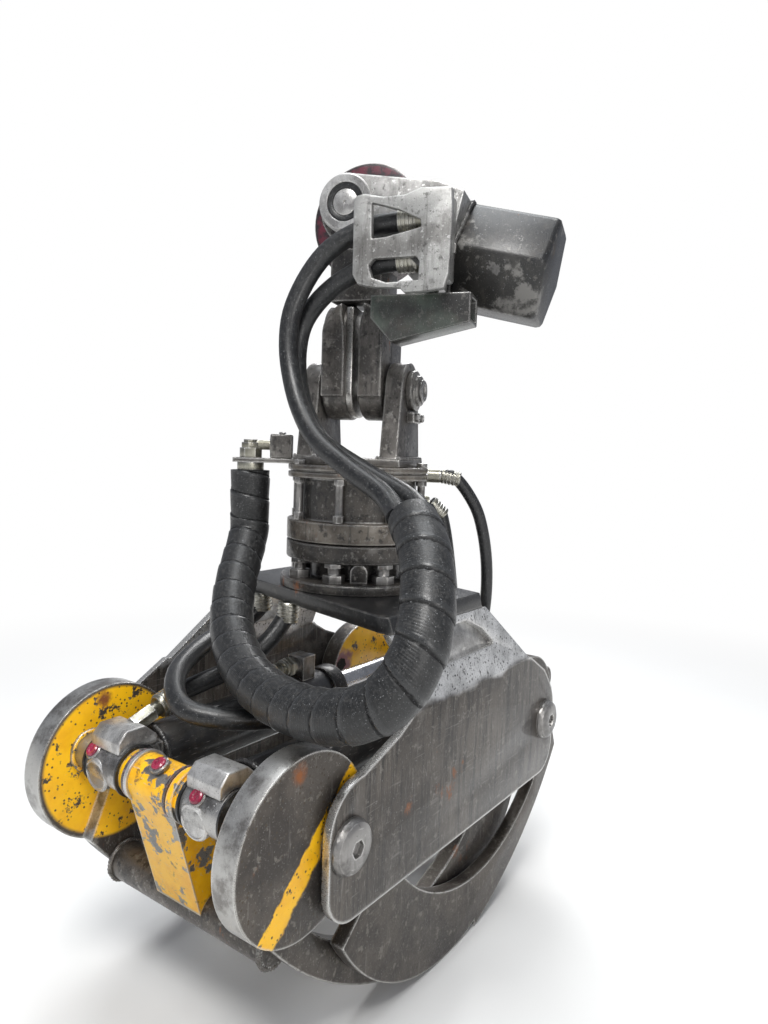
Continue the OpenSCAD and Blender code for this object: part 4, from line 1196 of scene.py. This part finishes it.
class GRAPPLE_OT_welds(bpy.types.Operator):
    """Lays the weld beads where the steel pieces join"""
    bl_idname = "grapple.welds"
    bl_label = "Weld beads"

    def execute(self, context):
        for hand, label in HANDS:
            for y, face in ((97, "outer"), (60, "inner")):
                bead(f"ear_weld_{label}_{face}", [yoke(x, hand * y, 523) for x in (-70, 70)],
                     "stator", "yoke_steel")
            for claw, x, y, finish in (("outer_claw", 372, 209, "outer_steel"),
                                       ("inner_claw", -372, 172, "inner_steel")):
                bead(f"crossbar_weld_{claw[:5]}_{label}",
                     ring_route(grapple(x, hand * (y - 3), -150), 0.031, (1, 0, 0)),
                     claw, finish, True)
            for claw, x, finish in (("outer_claw", CRANK_X, "outer_steel"),
                                    ("inner_claw", -CRANK_X, "inner_steel")):
                bead(f"sleeve_weld_{claw[:5]}_{label}",
                     ring_route(grapple(x, hand * 190.5, CRANK_Z), 0.0305, (1, 0, 0)),
                     claw, finish, True)
            bead(f"barrel_weld_{label}",
                 ring_route(grapple(-371, hand * BARREL_Y, CRANK_Z), 0.0465, (0, 1, 0)),
                 "barrels", "barrel_steel", True)
        bead("tube_weld", [boom(x, -197.5, z) for x, z in arc(0, -32, 95, 0, 300, 5)], "boom_tip",
             "muddy_black", True)
        return {"FINISHED"}


# the camera as fitted to the photograph: its place in metres, its directions and its lens
CAMERA_PLACE, CAMERA_LENS = (-1.18605, -0.52715, -0.30409), 26.02
CAMERA_LOOK = Vector((0.8078, 0.584, -0.0804))
CAMERA_RIGHT, CAMERA_UP = Vector((0.5878, -0.8083, 0.0346)), Vector((0.0448, 0.0752, 0.9962))
# name, place, aimed at, width in metres, watts and colour of each soft light
LIGHTS = [
    ("key", (-1.9, -0.6, 2.4), (0, 0.2, -0.7), 1.5, 105, (1.0, 0.99, 0.97)),
    ("sky", (0.4, 0.4, 2.6), (0, 0.2, -0.6), 2.4, 70, (0.95, 0.98, 1.0)),
    ("rim", (1.9, 1.6, 1.2), (0, 0.3, -0.6), 1.4, 46, (1.0, 1.0, 1.0)),
    ("front", (-1.6, -2.4, 0.2), (0, 0, -0.8), 1.4, 22, (1.0, 0.98, 0.95)),
]


class GRAPPLE_OT_stage(bpy.types.Operator):
    """Sets the camera, the pale floor and the soft studio light"""
    bl_idname = "grapple.stage"
    bl_label = "Camera, floor and light"

    def execute(self, context):
        self.camera()
        self.floor()
        self.lights()
        context.scene.view_settings.view_transform = "Standard"
        return {"FINISHED"}

    def camera(self):
        lens = bpy.data.cameras.new("photo view")
        lens.sensor_fit, lens.sensor_height, lens.sensor_width = "VERTICAL", 36, 36
        lens.lens = CAMERA_LENS
        lens.clip_start, lens.clip_end = 0.02, 60
        camera = added("photo view", lens)
        turn = Matrix((CAMERA_RIGHT, CAMERA_UP, -CAMERA_LOOK)).transposed().to_4x4()
        camera.matrix_world = Matrix.Translation(CAMERA_PLACE) @ turn
        bpy.context.scene.camera = camera

    def floor(self):
        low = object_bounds()[0].z
        clear()
        bpy.ops.mesh.primitive_grid_add(x_subdivisions=4, y_subdivisions=4, size=60,
                                        location=(0, 0, low - 0.001))
        floor = bpy.context.active_object
        floor.name = "floor"
        r = Recipe("pale floor", (0.80, 0.80, 0.79), 0.75)
        r.lay(r.noise(3, 3), (0.76, 0.76, 0.75))
        r.finish(0.2, 0.05, wet=0.0)
        # far off, the floor turns into the white backdrop
        away = r.add("ShaderNodeVectorMath", {0: r.place}, operation="LENGTH").outputs["Value"]
        glow = r.add("ShaderNodeEmission", {"Color": (1, 1, 1), "Strength": 1.0})
        mix = r.add("ShaderNodeMixShader", {0: r.between(away, 1.0, 3.2)})
        r.tree.links.new(r.shader.outputs[0], mix.inputs[1])
        r.tree.links.new(glow.outputs[0], mix.inputs[2])
        r.tree.links.new(mix.outputs[0], r.tree.nodes["Material Output"].inputs[0])
        floor.data.materials.append(r.material)
        floor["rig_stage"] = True

    def lights(self):
        world = bpy.data.worlds.new("studio")
        bpy.context.scene.world = world
        world.use_nodes = True
        tree = world.node_tree
        tree.nodes.clear()
        out, path, seen, white, soft, mix = (tree.nodes.new("ShaderNode" + kind) for kind in (
            "OutputWorld", "LightPath", "Math", "Background", "Background", "MixShader"))
        seen.operation = "MAXIMUM"
        for shade, colour, strength in ((white, (1, 1, 1, 1), 1.0),
                                        (soft, (0.86, 0.90, 1.0, 1), 0.34)):
            shade.inputs[0].default_value, shade.inputs[1].default_value = colour, strength
        for output, place in ((path.outputs["Is Camera Ray"], seen.inputs[0]),
                              (path.outputs["Is Transmission Ray"], seen.inputs[1]),
                              (seen.outputs[0], mix.inputs[0]), (soft.outputs[0], mix.inputs[1]),
                              (white.outputs[0], mix.inputs[2]), (mix.outputs[0], out.inputs[0])):
            tree.links.new(output, place)
        for name, place, aim, width, watts, tint in LIGHTS:
            data = bpy.data.lights.new(name, "AREA")
            data.shape, data.size, data.energy, data.color = "DISK", width, watts, tint
            lamp = added(name, data)
            lamp.location = place
            lamp.rotation_euler = (Vector(aim) - Vector(place)).to_track_quat("-Z", "Y").to_euler()


class GRAPPLE_PT_panel(bpy.types.Panel):
    """Lists the steps in the sidebar"""
    bl_idname = "GRAPPLE_PT_panel"
    bl_label = "Grapple"
    bl_space_type = "VIEW_3D"
    bl_region_type = "UI"
    bl_category = "Grapple"

    def draw(self, context):
        for group in (context.scene.grapple_sizes, context.scene.grapple_colours):
            for name in type(group).__annotations__:
                self.layout.prop(group, name)
        for step in STEPS:
            self.layout.operator(step.bl_idname)


STEPS = [GRAPPLE_OT_stage, GRAPPLE_OT_finishes, GRAPPLE_OT_edges, GRAPPLE_OT_hoses,
         GRAPPLE_OT_castings, GRAPPLE_OT_fittings, GRAPPLE_OT_welds]
CLASSES = [GrappleSizes, GrappleColours, *STEPS, GRAPPLE_PT_panel]


def register():
    for kind in CLASSES:
        bpy.utils.register_class(kind)
    bpy.types.Scene.grapple_sizes = PointerProperty(type=GrappleSizes)
    bpy.types.Scene.grapple_colours = PointerProperty(type=GrappleColours)


def unregister():
    del bpy.types.Scene.grapple_sizes
    del bpy.types.Scene.grapple_colours
    for kind in reversed(CLASSES):
        bpy.utils.unregister_class(kind)


def main():
    register()
    bpy.ops.grapple.stage()
    bpy.ops.grapple.finishes()
    bpy.ops.grapple.edges()
    bpy.ops.grapple.hoses()
    bpy.ops.grapple.castings()
    bpy.ops.grapple.fittings()
    bpy.ops.grapple.welds()


if __name__ == "__main__":
    main()
